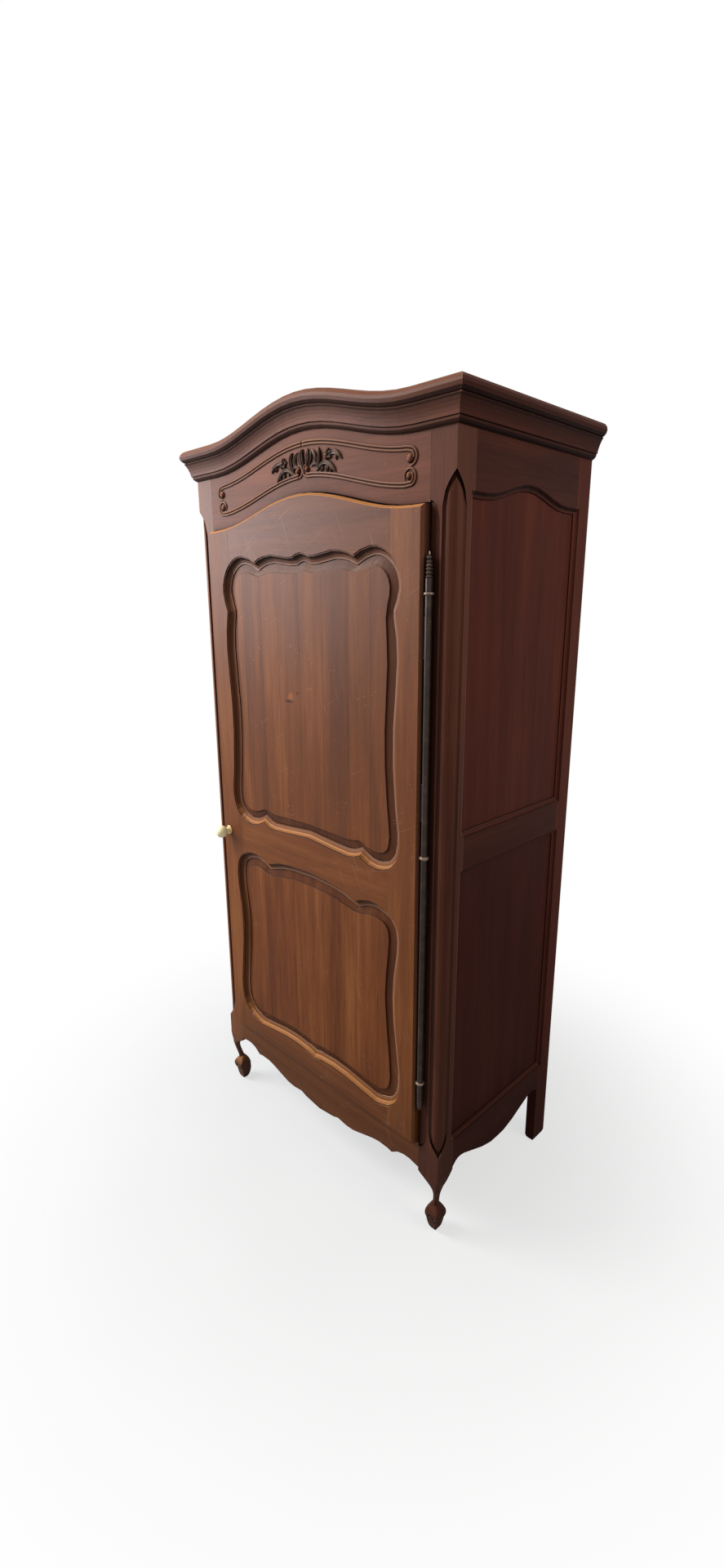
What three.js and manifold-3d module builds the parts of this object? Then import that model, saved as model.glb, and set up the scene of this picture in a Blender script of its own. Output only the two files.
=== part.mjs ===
// A bonnetiere: a narrow linen cupboard with one tall panelled door, a waved cornice and scroll feet.
// Lengths are millimetres. X runs to the right, Y to the back and Z up; the case is laid out with the
// front of its posts on Y = 0 and is moved back at the end, so that the origin is under its middle.
import * as THREE from "three";
import { mergeVertices } from "three/addons/utils/BufferGeometryUtils.js";
import Module from "manifold-3d";

const wasm = await Module();
wasm.setup();

// Driving sizes of the case
const caseWidth = 850;
const caseDepth = 490;
const corniceBase = 1804;
const fitGap = 0.3;
const overrun = 6;

// The wave that the cornice, the frieze and the top of the door share
const waveRise = 54;
const waveReach = 330;

// Posts and their rounded corner
const postFace = 61;
const rebateWidth = 12;
const frontPostDepth = 57;
const rearPostThickness = 27;
const rearPostWidth = 54;
const cornerRadius = 22;
const quirkWidth = 10;
const quirkDepth = 5;
const cornerTopDrop = 73;
const cornerFootDrop = 14;
const cornerPoint = 62;
const hoodDrop = 14;
const footRise = 14;

// Front rails
const frontRailThickness = 28;
const railTopRise = 58;
const apronRise = 125;

// Door: the widths of its rails are taken where they are narrowest
const doorBottom = 245;
const friezeWidth = 127;
const doorProud = 18;
const doorGap = 3;
const closingGap = 1;
const doorChamfer = 5.5;
const stileWidth = 84;
const topRailWidth = 66;
const midRailFoot = 841;
const midRailWidth = 72;
const bottomRailWidth = 47;
const upperSideMargin = 51;
const lowerSideMargin = 42;

// Moulding worked round each door panel, the groove behind it and the raised panel
const beadStep = 2;
const beadWidth = 3;
const coveWidth = 12;
const coveDepth = 11;
const filletWidth = 3;
const grooveLip = 2;
const grooveWidth = 6.5;
const grooveDepth = 8;
const backLip = 4.5;
const bevelMargin = 0.5;
const bevelWidth = 20;
const bevelDepth = 4;
const fieldStep = 3;

// Sides and back
const sideRailThickness = 25;
const sideBeadWidth = 2;
const sideBeadStep = 1.5;
const sideCoveWidth = 9;
const sideCoveDepth = 5.5;
const sideGrooveLip = 2;
const sideGrooveWidth = 7;
const sideTopRailWidth = 106;
const sidePanelCrown = 29;
const sidePanelCrownReach = 150;
const sideMidFoot = 942;
const sideMidWidth = 75;
const sideSillTop = 252;
const sideApronRise = 142;
const sideApronHeight = 36;
const backRailThickness = 22;
const backRailWidth = 90;
const backGrooveFront = 7;
const backGrooveWidth = 8;

// Cornice
const corniceHeight = 74;
const corniceReach = 31.5;
const corniceTopCover = 25;

// Front feet
const legHeight = 184;
const ankleHeight = 85;
const ankleLap = 6;
const footWidth = 41;
const eyeRadius = 5;
const eyeStand = 1;
const spiralReach = 13;
const spiralWidth = 3;
const spiralDepth = 3;

// Boards and cleats
const boardThickness = 18;
const shelfThickness = 20;
const shelfHeights = [612, 972, 1332];
const cleatHeight = 28;
const cleatWidth = 18;
const topBoardDrop = 32;

// Joinery
const tenonThickness = 9;
const tenonLength = 25;
const tenonShoulder = 14;
const apronTenonHeight = 36;

// Hinge: two long barrels on one pin
const hingeAir = 2;
const hingeProud = 9;
const barrelRadius = 7;
const collarRadius = 9;
const collarHeight = 6;
const hingeMiddle = 975;
const hingeTopDrop = 166;
const hingeFootRise = 178;
const neckHeight = 25;
const footNeckHeight = 29;
const finialHeight = 51;
const dropHeight = 41;
const ringHeight = 6;
const pinRadius = 3;
const pinLength = 300;
const leafThickness = 2.5;
const leafHeight = 80;
const leafDepth = 32;
const hollowWidth = 24;
const hollowDepth = 4;
const hollowRise = 6;
const hollowDrop = 11;
const hollowSweep = 50;

// Knob and catch
const knobRadius = 17;
const knobStand = 27;
const knobHeight = 874;
const knobInset = 20;
const roseRadius = 13;
const roseHeight = 4;
const knobNeck = 6;
const screwRadius = 2.2;
const screwHead = 5;
const screwHeadHeight = 3;
const catchHeight = 46;
const catchWidth = 15;
const catchDepth = 22;
const strikeThickness = 2;
const catchLevel = 900;

// How finely curves are drawn
const curveSample = 5;
const curveStray = 0.75;
const waveStations = 18;
const turnSides = 16;
const hingeSides = 10;
const legSides = 12;
const arcSteps = 5;
const spiralSteps = 9;
const softenRounds = 1;
const boxPower = 5;
const weldDistance = 1e-4;

// Sizes that follow from the ones above
const caseHalf = caseWidth / 2;
const doorThickness = beadStep + coveDepth + grooveLip + grooveWidth + backLip;
const openingHalf = caseHalf - postFace;
const postWidth = postFace + rebateWidth;
const postInner = caseHalf - postWidth;
const rebateDepth = doorThickness - doorProud + closingGap;
const frameTop = corniceBase + railTopRise;
const doorShoulder = corniceBase - friezeWidth;
const doorHalf = openingHalf - doorGap;
const doorBack = doorThickness - doorProud;
const mouldingWidth = beadWidth + coveWidth + filletWidth;
const grooveFront = beadStep + coveDepth + grooveLip;
const rearPostFront = caseDepth - rearPostWidth;
const cornerTop = corniceBase - cornerTopDrop;
const cornerBottom = doorBottom - cornerFootDrop;
const sideMoulding = sideBeadWidth + sideCoveWidth;
const sideGrooveFront = sideBeadStep + sideCoveDepth + sideGrooveLip;
const sidePanelTop = corniceBase - sideTopRailWidth;
const sideMidTop = sideMidFoot + sideMidWidth;
const topBoardHeight = corniceBase - topBoardDrop;
const hingeX = doorHalf + collarRadius + hingeAir;
const hingeTop = doorShoulder - hingeTopDrop;
const hingeFoot = doorBottom + hingeFootRise;
const hollowTop = doorShoulder + hollowRise;
const hollowFoot = doorBottom - hollowDrop;
const upperOpening = {
  half: doorHalf - upperSideMargin,
  bottom: midRailFoot + midRailWidth,
  top: doorShoulder - topRailWidth,
};
const lowerOpening = {
  half: doorHalf - lowerSideMargin,
  bottom: doorBottom + bottomRailWidth,
  top: midRailFoot,
};

// The right-hand half of each outline, as shares of its own half width and height

const upperOpeningShares = [
  [[0, 0.996], [0.04, 0.993], [0.075, 0.986], [0.12, 0.9835], [0.2, 0.987], [0.34, 0.996], [0.47, 0.99],
    [0.555, 0.976]],
  [[0.555, 0.976], [0.63, 0.991], [0.74, 1], [0.845, 0.988], [0.935, 0.957], [0.984, 0.918],
    [0.997, 0.878], [0.977, 0.84], [0.948, 0.808]],
  [[0.948, 0.808], [0.974, 0.746], [0.984, 0.678], [0.974, 0.589], [0.956, 0.503], [0.95, 0.417],
    [0.955, 0.331], [0.977, 0.216], [1, 0.145], [0.997, 0.09], [0.965, 0.047], [0.887, 0.013],
    [0.774, 0], [0.668, 0.006], [0.587, 0.024]],
  [[0.587, 0.024], [0.526, 0.013], [0.426, 0.008], [0.258, 0.014], [0, 0.024]],
];
const lowerOpeningShares = [
  [[0, 1], [0.188, 0.996], [0.345, 0.985], [0.464, 0.967], [0.533, 0.954]],
  [[0.533, 0.954], [0.596, 0.971], [0.702, 0.984], [0.803, 0.974], [0.893, 0.949], [0.956, 0.905],
    [0.978, 0.842], [0.972, 0.769], [0.95, 0.687], [0.937, 0.596], [0.94, 0.495], [0.959, 0.386],
    [0.984, 0.286], [1, 0.195], [0.987, 0.117], [0.947, 0.062], [0.868, 0.022], [0.746, 0],
    [0.643, 0.005], [0.47, 0.02], [0.298, 0.029], [0.157, 0.027], [0.056, 0.02], [0, 0.01]],
];
// How much of an opening's height its corners take up
const turnShare = 0.12;
// Lower edge of the front apron: shares of the opening's half width and of the apron's rise
const apronShares = [
  [[0, 1], [0.148, 1.056], [0.209, 1.112]],
  [[0.209, 1.112], [0.302, 1.08], [0.382, 1.096], [0.445, 1.152], [0.527, 1.224], [0.626, 1.288],
    [0.714, 1.288], [0.758, 1.264]],
  [[0.758, 1.264], [0.81, 1.368], [0.863, 1.416], [0.92, 1.42], [0.967, 1.395], [1, 1.37]],
];
// Lower edge of the side apron, from its middle: shares of its half length and of its height
const sideApronShares = [
  [0, 0.03], [0.16, 0.06], [0.37, 0.36], [0.557, 0.76], [0.737, 1.16], [0.85, 1.3], [0.93, 1.22], [1, 0.92],
];
// Hollow beside the corner's shaft, from the post's face inward: shares of its width and depth
const hollowShares = [[1, 0], [0.88, 0.38], [0.5, 0.8], [0, 1]];
// Hollow of the mouldings round the panels: shares of its width and depth
const coveShares = [[0.12, 0.45], [0.45, 0.82], [1, 1]];
// Section of the cornice from its foot to its top edge: shares of its reach and height
const corniceShares = [
  [0.06, 0.01], [0.17, 0.04], [0.27, 0.09], [0.3, 0.13], [0.28, 0.155], [0.37, 0.17], [0.4, 0.25],
  [0.46, 0.34], [0.54, 0.43], [0.64, 0.52], [0.74, 0.575], [0.68, 0.605], [0.78, 0.625], [0.93, 0.69],
  [1, 0.78], [0.95, 0.87], [0.82, 0.945], [0.64, 0.99], [0.48, 1],
];
// Front leg, rings from the ankle up: height as a share of the way from the ankle to the top of the leg;
// then, as shares of the post's width and depth, how far in the ring's centre lies and its half size;
// then how square it is
const legShares = [
  [0, 0.277, 0.116, 0.355, 0.149, 0],
  [0.1, 0.247, 0.106, 0.316, 0.136, 0],
  [0.26, 0.193, 0.106, 0.247, 0.136, 0],
  [0.36, 0.166, 0.113, 0.213, 0.144, 0],
  [0.44, 0.155, 0.128, 0.198, 0.164, 0.02],
  [0.52, 0.165, 0.156, 0.208, 0.2, 0.12],
  [0.59, 0.222, 0.212, 0.272, 0.262, 0.3],
  [0.66, 0.282, 0.29, 0.34, 0.345, 0.45],
  [0.74, 0.37, 0.38, 0.41, 0.42, 0.6],
  [0.81, 0.43, 0.44, 0.455, 0.465, 0.75],
  [0.87, 0.48, 0.495, 0.485, 0.492, 0.85],
  [0.93, 0.492, 0.495, 0.498, 0.498, 0.92],
  [1, 0.5, 0.5, 0.498, 0.498, 0.95],
];
// Scroll foot, rings from the floor up: height as a share of the ankle's; then, as shares of the foot's
// width, how far in from the front and from the side it begins and ends; then how square it is
const footShares = [
  [0, 0.42, 0.76, 0.5],
  [0.03, 0.37, 0.81, 0.5],
  [0.09, 0.3, 0.87, 0.5],
  [0.18, 0.255, 0.93, 0.55],
  [0.29, 0.22, 0.97, 0.6],
  [0.41, 0.175, 1, 0.6],
  [0.49, 0.085, 1, 0.6],
  [0.6, 0.035, 1, 0.6],
  [0.7, 0.06, 0.985, 0.6],
  [0.78, 0.138, 0.94, 0.5],
  [0.88, 0.285, 0.83, 0.4],
  [0.95, 0.36, 0.69, 0.2],
  [1.04, 0.39, 0.55, 0],
];
// The eye of the scroll, on the foot's front and on its side
const eyeShares = [0.5, 0.5];
// The groove that winds in to the eye, from where it starts to where it ends: turns round the eye
const spiralShares = [0.56, 1.5];
// Edge of a rear foot: how far in and how far up, as shares of its rise
const toeShares = [[0.5, 0], [0.2, 0.35], [0, 1]];
// How sharp a corner may be before its inset point is drawn in
const mitreShare = 0.6;
// Finial of the hinge, from its first ring to its tip: shares of the barrel's radius and of its height
const finialShares = [
  [1, 0], [0.74, 0.02], [1.04, 0.065], [0.7, 0.13], [1.04, 0.2], [0.68, 0.27], [1.02, 0.335],
  [0.66, 0.4], [0.98, 0.465], [0.6, 0.54], [0.92, 0.61], [0.5, 0.675], [0.84, 0.745], [0.7, 0.8],
  [0.26, 0.85], [0.14, 0.93],
];
// Drop under the lower barrel, from its first ring down: shares of the barrel's radius and of its height
const dropShares = [
  [1, 0], [0.84, 0.05], [1.03, 0.15], [0.84, 0.27], [1.03, 0.38], [0.82, 0.5], [1, 0.61], [0.8, 0.7],
  [0.92, 0.78], [0.7, 0.92], [0.36, 0.985],
];

// Solids

function solid(geometry) {
  const bare = geometry.clone();
  bare.deleteAttribute("normal");
  bare.deleteAttribute("uv");
  const welded = mergeVertices(bare, weldDistance);
  const index = welded.index.array;
  const corners = [];
  for (let i = 0; i < index.length; i += 3) {
    const [a, b, c] = [index[i], index[i + 1], index[i + 2]];
    if (a !== b && b !== c && c !== a) corners.push(a, b, c);
  }
  return new wasm.Manifold(new wasm.Mesh({
    numProp: 3,
    vertProperties: new Float32Array(welded.attributes.position.array),
    triVerts: new Uint32Array(corners),
  }));
}

function geometryOf(shape) {
  const mesh = shape.getMesh();
  const geometry = new THREE.BufferGeometry();
  geometry.setAttribute("position", new THREE.BufferAttribute(new Float32Array(mesh.vertProperties), 3));
  geometry.setIndex(new THREE.BufferAttribute(new Uint32Array(mesh.triVerts), 1));
  return geometry;
}

function mirrored(shape) {
  const geometry = geometryOf(shape);
  geometry.scale(-1, 1, 1);
  const index = geometry.index.array;
  for (let i = 0; i < index.length; i += 3) [index[i], index[i + 1]] = [index[i + 1], index[i]];
  return solid(geometry);
}

function block(x, y, z) {
  const box = new THREE.BoxGeometry(x[1] - x[0], y[1] - y[0], z[1] - z[0]);
  box.translate((x[0] + x[1]) / 2, (y[0] + y[1]) / 2, (z[0] + z[1]) / 2);
  return solid(box);
}

// The same block grown by the fit gap, to cut the pocket that it slides into
function pocket(x, y, z) {
  const grown = (range) => [range[0] - fitGap, range[1] + fitGap];
  return block(grown(x), grown(y), grown(z));
}

function twiceArea(outline) {
  let sum = 0;
  outline.forEach((p, i) => {
    const q = outline[(i + 1) % outline.length];
    sum += p.x * q.y - q.x * p.y;
  });
  return sum;
}

// A closed solid through rings of equal count; place turns (u, v, ring.at) into a point in space
function loft(rings, place) {
  const count = rings[0].outline.length;
  const points = rings.flatMap((ring) => ring.outline.map((p) => place(p.x, p.y, ring.at)));
  const faces = [];
  for (let r = 0; r + 1 < rings.length; r += 1) {
    for (let i = 0; i < count; i += 1) {
      const a = r * count + i;
      const b = r * count + ((i + 1) % count);
      faces.push([a, b, b + count], [a, b + count, a + count]);
    }
  }
  const lid = (ring, start, turned) => {
    const lids = THREE.ShapeUtils.triangulateShape(ring.outline, []);
    const areaOf = (face) => twiceArea(face.map((corner) => ring.outline[corner]));
    const covered = lids.reduce((sum, face) => sum + areaOf(face), 0);
    const turnsAlike = Math.sign(covered) === Math.sign(twiceArea(ring.outline));
    for (const face of lids) {
      if (turned === turnsAlike) face.reverse();
      faces.push(face.map((corner) => corner + start));
    }
  };
  lid(rings[0], 0, true);
  lid(rings[rings.length - 1], (rings.length - 1) * count, false);
  let volume = 0;
  for (const [a, b, c] of faces) volume += points[a].dot(points[b].clone().cross(points[c]));
  if (volume < 0) faces.forEach((face) => face.reverse());
  const geometry = new THREE.BufferGeometry();
  geometry.setAttribute("position", new THREE.Float32BufferAttribute(points.flatMap((p) => p.toArray()), 3));
  geometry.setIndex(faces.flat());
  return solid(geometry);
}

const onFront = (x, z, y) => new THREE.Vector3(x, y, z);
const onSide = (y, z, inward) => new THREE.Vector3(caseHalf - inward, y, z);
const onPlan = (x, y, z) => new THREE.Vector3(x, y, z);
const onBack = (x, z, inward) => new THREE.Vector3(x, caseDepth - inward, z);

function prism(outline, from, to, place) {
  return loft([{ outline, at: from }, { outline, at: to }], place);
}

// A lathe geometry about Y from a profile of [radius, height], whichever way the profile runs
function lathe(profile, sides) {
  const points = profile.map(([r, h]) => new THREE.Vector2(r, h));
  if (twiceArea(points) < 0) points.reverse();
  return new THREE.LatheGeometry(points, sides);
}

// Outlines

// How far a point lies from the line through two others
function strayFrom(a, b, p) {
  const along = b.clone().sub(a);
  return Math.abs(along.cross(p.clone().sub(a))) / along.length();
}

// Points along a curve, closer together where it bends more
function smooth(places) {
  const curve = new THREE.SplineCurve(places);
  const fine = curve.getSpacedPoints(Math.ceil(curve.getLength() / curveSample));
  const line = [fine[0]];
  let kept = 0;
  for (let i = 1; i + 1 < fine.length; i += 1) {
    const passed = fine.slice(kept + 1, i + 1);
    if (passed.some((p) => strayFrom(fine[kept], fine[i + 1], p) > curveStray)) {
      line.push(fine[i]);
      kept = i;
    }
  }
  line.push(fine[fine.length - 1]);
  return line;
}

// Joins curves that meet in a point, and leaves each meeting point in once
function chain(runs) {
  return runs.flatMap((run, i) => (i ? run.slice(1) : run));
}

function openingOutline(shares, opening) {
  const height = opening.top - opening.bottom;
  const toPlace = ([x, z]) => new THREE.Vector2(x * opening.half, opening.bottom + z * height);
  const right = chain(shares.map((run) => smooth(run.map(toPlace))));
  const left = right.slice(1, -1).reverse().map((p) => new THREE.Vector2(-p.x, p.y));
  return [...right, ...left].reverse();
}

// The outline moved inward by a distance, corner by corner
function inset(outline, distance) {
  const turn = Math.sign(twiceArea(outline));
  return outline.map((p, i) => {
    const before = outline[(i + outline.length - 1) % outline.length];
    const after = outline[(i + 1) % outline.length];
    const a = p.clone().sub(before).normalize();
    const b = after.clone().sub(p).normalize();
    const normal = new THREE.Vector2(-a.y - b.y, a.x + b.x).normalize();
    const spread = Math.max(mitreShare, normal.x * -a.y + normal.y * a.x);
    return p.clone().addScaledVector(normal, (turn * distance) / spread);
  });
}

// The outline moved in from the sides of its box, so that its curves keep their shape
function drawnIn(outline, opening, distance) {
  const middle = (opening.top + opening.bottom) / 2;
  const half = (opening.top - opening.bottom) / 2;
  const pull = (share) => Math.sign(share) * Math.abs(share) ** boxPower;
  return outline.map((p) => {
    const way = new THREE.Vector2(pull(p.x / opening.half), pull((p.y - middle) / half)).normalize();
    return p.clone().addScaledVector(way, -distance);
  });
}

// The outline with its points drawn towards their neighbours
function softened(outline, rounds) {
  let soft = outline;
  for (let round = 0; round < rounds; round += 1) {
    soft = soft.map((p, i) => {
      const before = soft[(i + soft.length - 1) % soft.length];
      const after = soft[(i + 1) % soft.length];
      return new THREE.Vector2((before.x + 2 * p.x + after.x) / 4, (before.y + 2 * p.y + after.y) / 4);
    });
  }
  return soft;
}

// A cutter that follows an outline with a moulded edge: steps are [inward, depth]
function cutter(outline, steps, place) {
  return loft(steps.map(([inward, depth]) => ({ outline: inset(outline, inward), at: depth })), place);
}

function wave(x) {
  const share = Math.min(Math.abs(x) / waveReach, 1);
  return (waveRise * (1 + Math.cos(Math.PI * share))) / 2;
}

// Places from one side to the other, closer together along the wave
function waveStops(half) {
  const stops = [-half];
  for (let i = 0; i <= waveStations; i += 1) {
    const x = THREE.MathUtils.lerp(-waveReach, waveReach, i / waveStations);
    if (Math.abs(x) < half) stops.push(x);
  }
  return [...stops, half];
}

// Points along a level that rises with the wave
function waveLine(half, level) {
  return waveStops(half).map((x) => new THREE.Vector2(x, level + wave(x)));
}

const flat = (points) => points.map(([x, y]) => new THREE.Vector2(x, y));

// Side openings, laid out on Y and Z
const sideFront = frontPostDepth - sideMoulding;
const sideRear = rearPostFront + sideMoulding;
const sideMiddle = (sideFront + sideRear) / 2;

function sideCrown(y) {
  const share = Math.min(Math.abs(y - sideMiddle) / sidePanelCrownReach, 1);
  return sidePanelTop + (sidePanelCrown * (1 + Math.cos(Math.PI * share))) / 2;
}

function sideUpperOutline() {
  const top = [];
  for (let i = 0; i <= 2 * arcSteps; i += 1) {
    const y = sideMiddle + sidePanelCrownReach * (1 - i / arcSteps);
    top.push(new THREE.Vector2(y, sideCrown(y)));
  }
  return [...flat([[sideFront, sideMidTop], [sideRear, sideMidTop], [sideRear, sidePanelTop]]),
    ...top, ...flat([[sideFront, sidePanelTop]])];
}

function sideLowerOutline() {
  return flat([[sideFront, sideSillTop], [sideRear, sideSillTop], [sideRear, sideMidFoot],
    [sideFront, sideMidFoot]]);
}

const sideSteps = [
  [0, -overrun], [0, sideBeadStep], [sideBeadWidth, sideBeadStep],
  ...coveShares.map(([inward, depth]) => [sideBeadWidth + sideCoveWidth * inward,
    sideBeadStep + sideCoveDepth * depth]),
  [sideMoulding, sideGrooveFront],
  [sideMoulding - grooveDepth, sideGrooveFront],
  [sideMoulding - grooveDepth, sideGrooveFront + sideGrooveWidth],
  [sideMoulding, sideGrooveFront + sideGrooveWidth], [sideMoulding, sideRailThickness + overrun],
];
const sideCutters = [sideUpperOutline(), sideLowerOutline()].map((line) => cutter(line, sideSteps, onSide));
const cutSides = (shape) => sideCutters.reduce((rest, tool) => rest.subtract(tool), shape);

// Back openings, laid out on X and Z
const backHalf = caseHalf - rearPostThickness;
const backMiddle = (sideMidTop + sideMidFoot) / 2;
const backSill = sideSillTop;
const backTop = frameTop - backRailWidth;
const backSteps = [
  [0, -overrun], [0, backGrooveFront], [-grooveDepth, backGrooveFront],
  [-grooveDepth, backGrooveFront + backGrooveWidth], [0, backGrooveFront + backGrooveWidth],
  [0, backRailThickness + overrun],
];
function backOutline(bottom, top) {
  return flat([[-backHalf, bottom], [backHalf, bottom], [backHalf, top], [-backHalf, top]]);
}
const backUpper = backOutline(backMiddle + backRailWidth / 2, backTop);
const backLower = backOutline(backSill, backMiddle - backRailWidth / 2);
const backCutters = [backUpper, backLower].map((line) => cutter(line, backSteps, onBack));
const cutBack = (shape) => backCutters.reduce((rest, tool) => rest.subtract(tool), shape);

// Tenons, as ranges on X, Y and Z, on the right-hand side of the case
const frontTenonFront = (rebateDepth + frontRailThickness - tenonThickness) / 2;
const frontTenonY = [frontTenonFront, frontTenonFront + tenonThickness];
const frontTenonX = [postInner - overrun, postInner + tenonLength];
const sideTenonX = [caseHalf - sideGrooveFront - tenonThickness, caseHalf - sideGrooveFront];
const sideTenonY = [frontPostDepth - tenonLength, rearPostFront + tenonLength];
const backTenonY = [caseDepth - backGrooveFront - backGrooveWidth, caseDepth - backGrooveFront];
const backTenonX = [backHalf - overrun, backHalf + rearPostThickness / 2];
const friezeTenonZ = [doorShoulder + doorGap + tenonShoulder, frameTop - tenonShoulder];
const apronTenonTop = doorBottom - tenonShoulder;
const apronTenonZ = [apronTenonTop - apronTenonHeight, apronTenonTop];
const sideTenonHeights = {
  top: [sidePanelTop + sidePanelCrown + tenonShoulder / 2, frameTop - tenonShoulder],
  mid: [sideMidFoot + tenonShoulder / 2, sideMidTop - tenonShoulder / 2],
  bottom: [legHeight + tenonShoulder / 2, sideSillTop - tenonShoulder / 2],
};
const backTenonHeights = {
  top: [backTop + tenonShoulder, frameTop - tenonShoulder],
  mid: [backMiddle - backRailWidth / 2 + tenonShoulder, backMiddle + backRailWidth / 2 - tenonShoulder],
  bottom: [legHeight + tenonShoulder / 4, backSill - grooveDepth - tenonShoulder / 4],
};

// Front posts

// A pointed window on the corner's diagonal, half as wide as given, between two tips
function cornerWindow(half, foot, top, point) {
  const rise = (height, way) => {
    const line = [];
    for (let i = 0; i <= arcSteps; i += 1) {
      const share = i / arcSteps;
      line.push(new THREE.Vector2(half * (1 - share), height + way * point * (Math.sqrt(share) - 1)));
    }
    return line;
  };
  const upper = rise(top, 1);
  const lower = rise(foot, -1);
  const mirror = (line) => line.slice(0, -1).reverse().map((p) => new THREE.Vector2(-p.x, p.y));
  const outline = [...lower.slice().reverse(), ...upper, ...mirror(upper), ...mirror(lower).reverse()];
  const reach = cornerRadius + quirkWidth + overrun;
  return prism(outline, -reach, reach, (across, z, along) => new THREE.Vector3(
    caseHalf - (along - across) * Math.SQRT1_2, (along + across) * Math.SQRT1_2, z));
}

const onCorner = (u, v, z) => new THREE.Vector3(caseHalf - u, v, z);

// What lies outside a round shaft and the hollows on both sides of it, at the corner of a post
function outsideShaft(radius) {
  const wide = cornerRadius + quirkWidth;
  const arc = [];
  for (let i = 0; i <= arcSteps; i += 1) {
    const angle = ((Math.PI / 2) * i) / arcSteps;
    arc.push([cornerRadius - radius * Math.sin(angle), cornerRadius - radius * Math.cos(angle)]);
  }
  const hollow = hollowShares.map(([out, deep]) => [cornerRadius + out * quirkWidth, deep * quirkDepth]);
  const across = hollow.map(([u, v]) => [v, u]).reverse();
  const section = flat([[-overrun, -overrun], [wide, -overrun], ...hollow, ...arc, ...across,
    [-overrun, wide]]);
  return prism(section, cornerBottom, cornerTop, onCorner);
}

// The shaft's quirks run on round its tips and leave it standing like a bullet under a pointed hood
function cornerCut() {
  const wide = (cornerRadius + quirkWidth) * Math.SQRT1_2;
  const hood = cornerWindow(wide, cornerBottom, cornerTop, cornerPoint);
  const shaft = cornerWindow(cornerRadius * Math.SQRT1_2, cornerBottom + hoodDrop, cornerTop - hoodDrop,
    cornerPoint - hoodDrop);
  const shaftCut = outsideShaft(cornerRadius).intersect(hood);
  const quirkCut = outsideShaft(cornerRadius - quirkDepth).intersect(hood.subtract(shaft));
  return shaftCut.add(quirkCut);
}

// A squared ring: squareness 0 is an ellipse, and 1 is close to a rectangle
function legRing(width, depth, squareness) {
  const power = (1 - squareness) * (1 - squareness);
  const bend = (value) => Math.sign(value) * Math.abs(value) ** power;
  const ring = [];
  for (let i = 0; i < legSides; i += 1) {
    const angle = (2 * Math.PI * (i + 0.5)) / legSides;
    ring.push(new THREE.Vector2(width * bend(Math.cos(angle)), depth * bend(Math.sin(angle))));
  }
  return ring;
}

function frontLeg() {
  const rings = legShares.map(([height, inX, halfX, inY, halfY, squareness]) => {
    const ring = legRing(halfX * postWidth, halfY * frontPostDepth, squareness);
    const outline = ring.map((p) => new THREE.Vector2(p.x + inX * postWidth, p.y + inY * frontPostDepth));
    return { outline, at: THREE.MathUtils.lerp(ankleHeight - ankleLap, legHeight, height) };
  });
  const last = rings[rings.length - 1];
  rings.push({ outline: last.outline, at: legHeight + overrun });
  return loft(rings, onCorner);
}

// How far in the face of the foot lies at a height
function footFace(z) {
  const share = z / ankleHeight;
  const above = footShares.findIndex(([height]) => height > share);
  const [low, high] = [footShares[above - 1], footShares[above]];
  return footWidth * THREE.MathUtils.mapLinear(share, low[0], high[0], low[1], high[1]);
}

// Points at a distance and a number of turns round the scroll's eye
function roundEye(radius, turns) {
  const angle = 2 * Math.PI * turns;
  return new THREE.Vector2(eyeShares[0] * footWidth + radius * Math.cos(angle),
    eyeShares[1] * ankleHeight + radius * Math.sin(angle));
}

// The band of a spiral that starts at the corner's notch and winds in to the eye
function spiralBand() {
  const outer = [];
  const inner = [];
  for (let i = 0; i <= spiralSteps; i += 1) {
    const share = i / spiralSteps;
    const radius = THREE.MathUtils.lerp(spiralReach, eyeRadius, share);
    const turns = THREE.MathUtils.lerp(spiralShares[0], spiralShares[1], share);
    outer.push(roundEye(radius + spiralWidth, turns));
    inner.push(roundEye(radius, turns));
  }
  return [...outer, ...inner.reverse()];
}

// The scroll stands under the ankle at the corner, and shows its spiral to the front and to the side
function scrollFoot() {
  const rings = footShares.map(([height, near, far, squareness]) => {
    const half = ((far - near) * footWidth) / 2;
    const middle = ((far + near) * footWidth) / 2;
    const outline = legRing(half, half, squareness).map((p) => new THREE.Vector2(p.x + middle, p.y + middle));
    return { outline, at: height * ankleHeight };
  });
  let foot = loft(rings, onCorner);
  const eye = [];
  for (let i = 0; i < turnSides; i += 1) eye.push(roundEye(eyeRadius, i / turnSides));
  const onFace = (u, z, deep) => onCorner(u, footFace(z) + deep, z);
  const onOuterFace = (v, z, deep) => onCorner(footFace(z) + deep, v, z);
  for (const place of [onFace, onOuterFace]) {
    foot = foot.subtract(prism(spiralBand(), -overrun, spiralDepth, place));
    foot = foot.add(prism(eye, -eyeStand, 2 * spiralDepth, place));
  }
  return foot;
}

// Room for the hinge barrel beside the door: a shallow hollow that sweeps in at both ends
function hingeHollow() {
  const right = openingHalf + hollowWidth;
  const sweep = (z, way) => {
    const line = [];
    for (let i = 1; i <= arcSteps; i += 1) {
      const angle = ((Math.PI / 2) * i) / arcSteps;
      line.push(new THREE.Vector2(openingHalf + hollowWidth * Math.sin(angle),
        z - way * hollowSweep * (1 - Math.cos(angle))));
    }
    return line;
  };
  const outline = [...flat([[openingHalf - overrun, hollowFoot], [openingHalf, hollowFoot]]),
    ...sweep(hollowFoot, -1), ...flat([[right, hollowFoot + 2 * hollowSweep]]),
    ...sweep(hollowTop, 1).reverse(),
    ...flat([[openingHalf, hollowTop], [openingHalf - overrun, hollowTop]])];
  return prism(outline, -overrun, hollowDepth, onFront);
}

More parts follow.
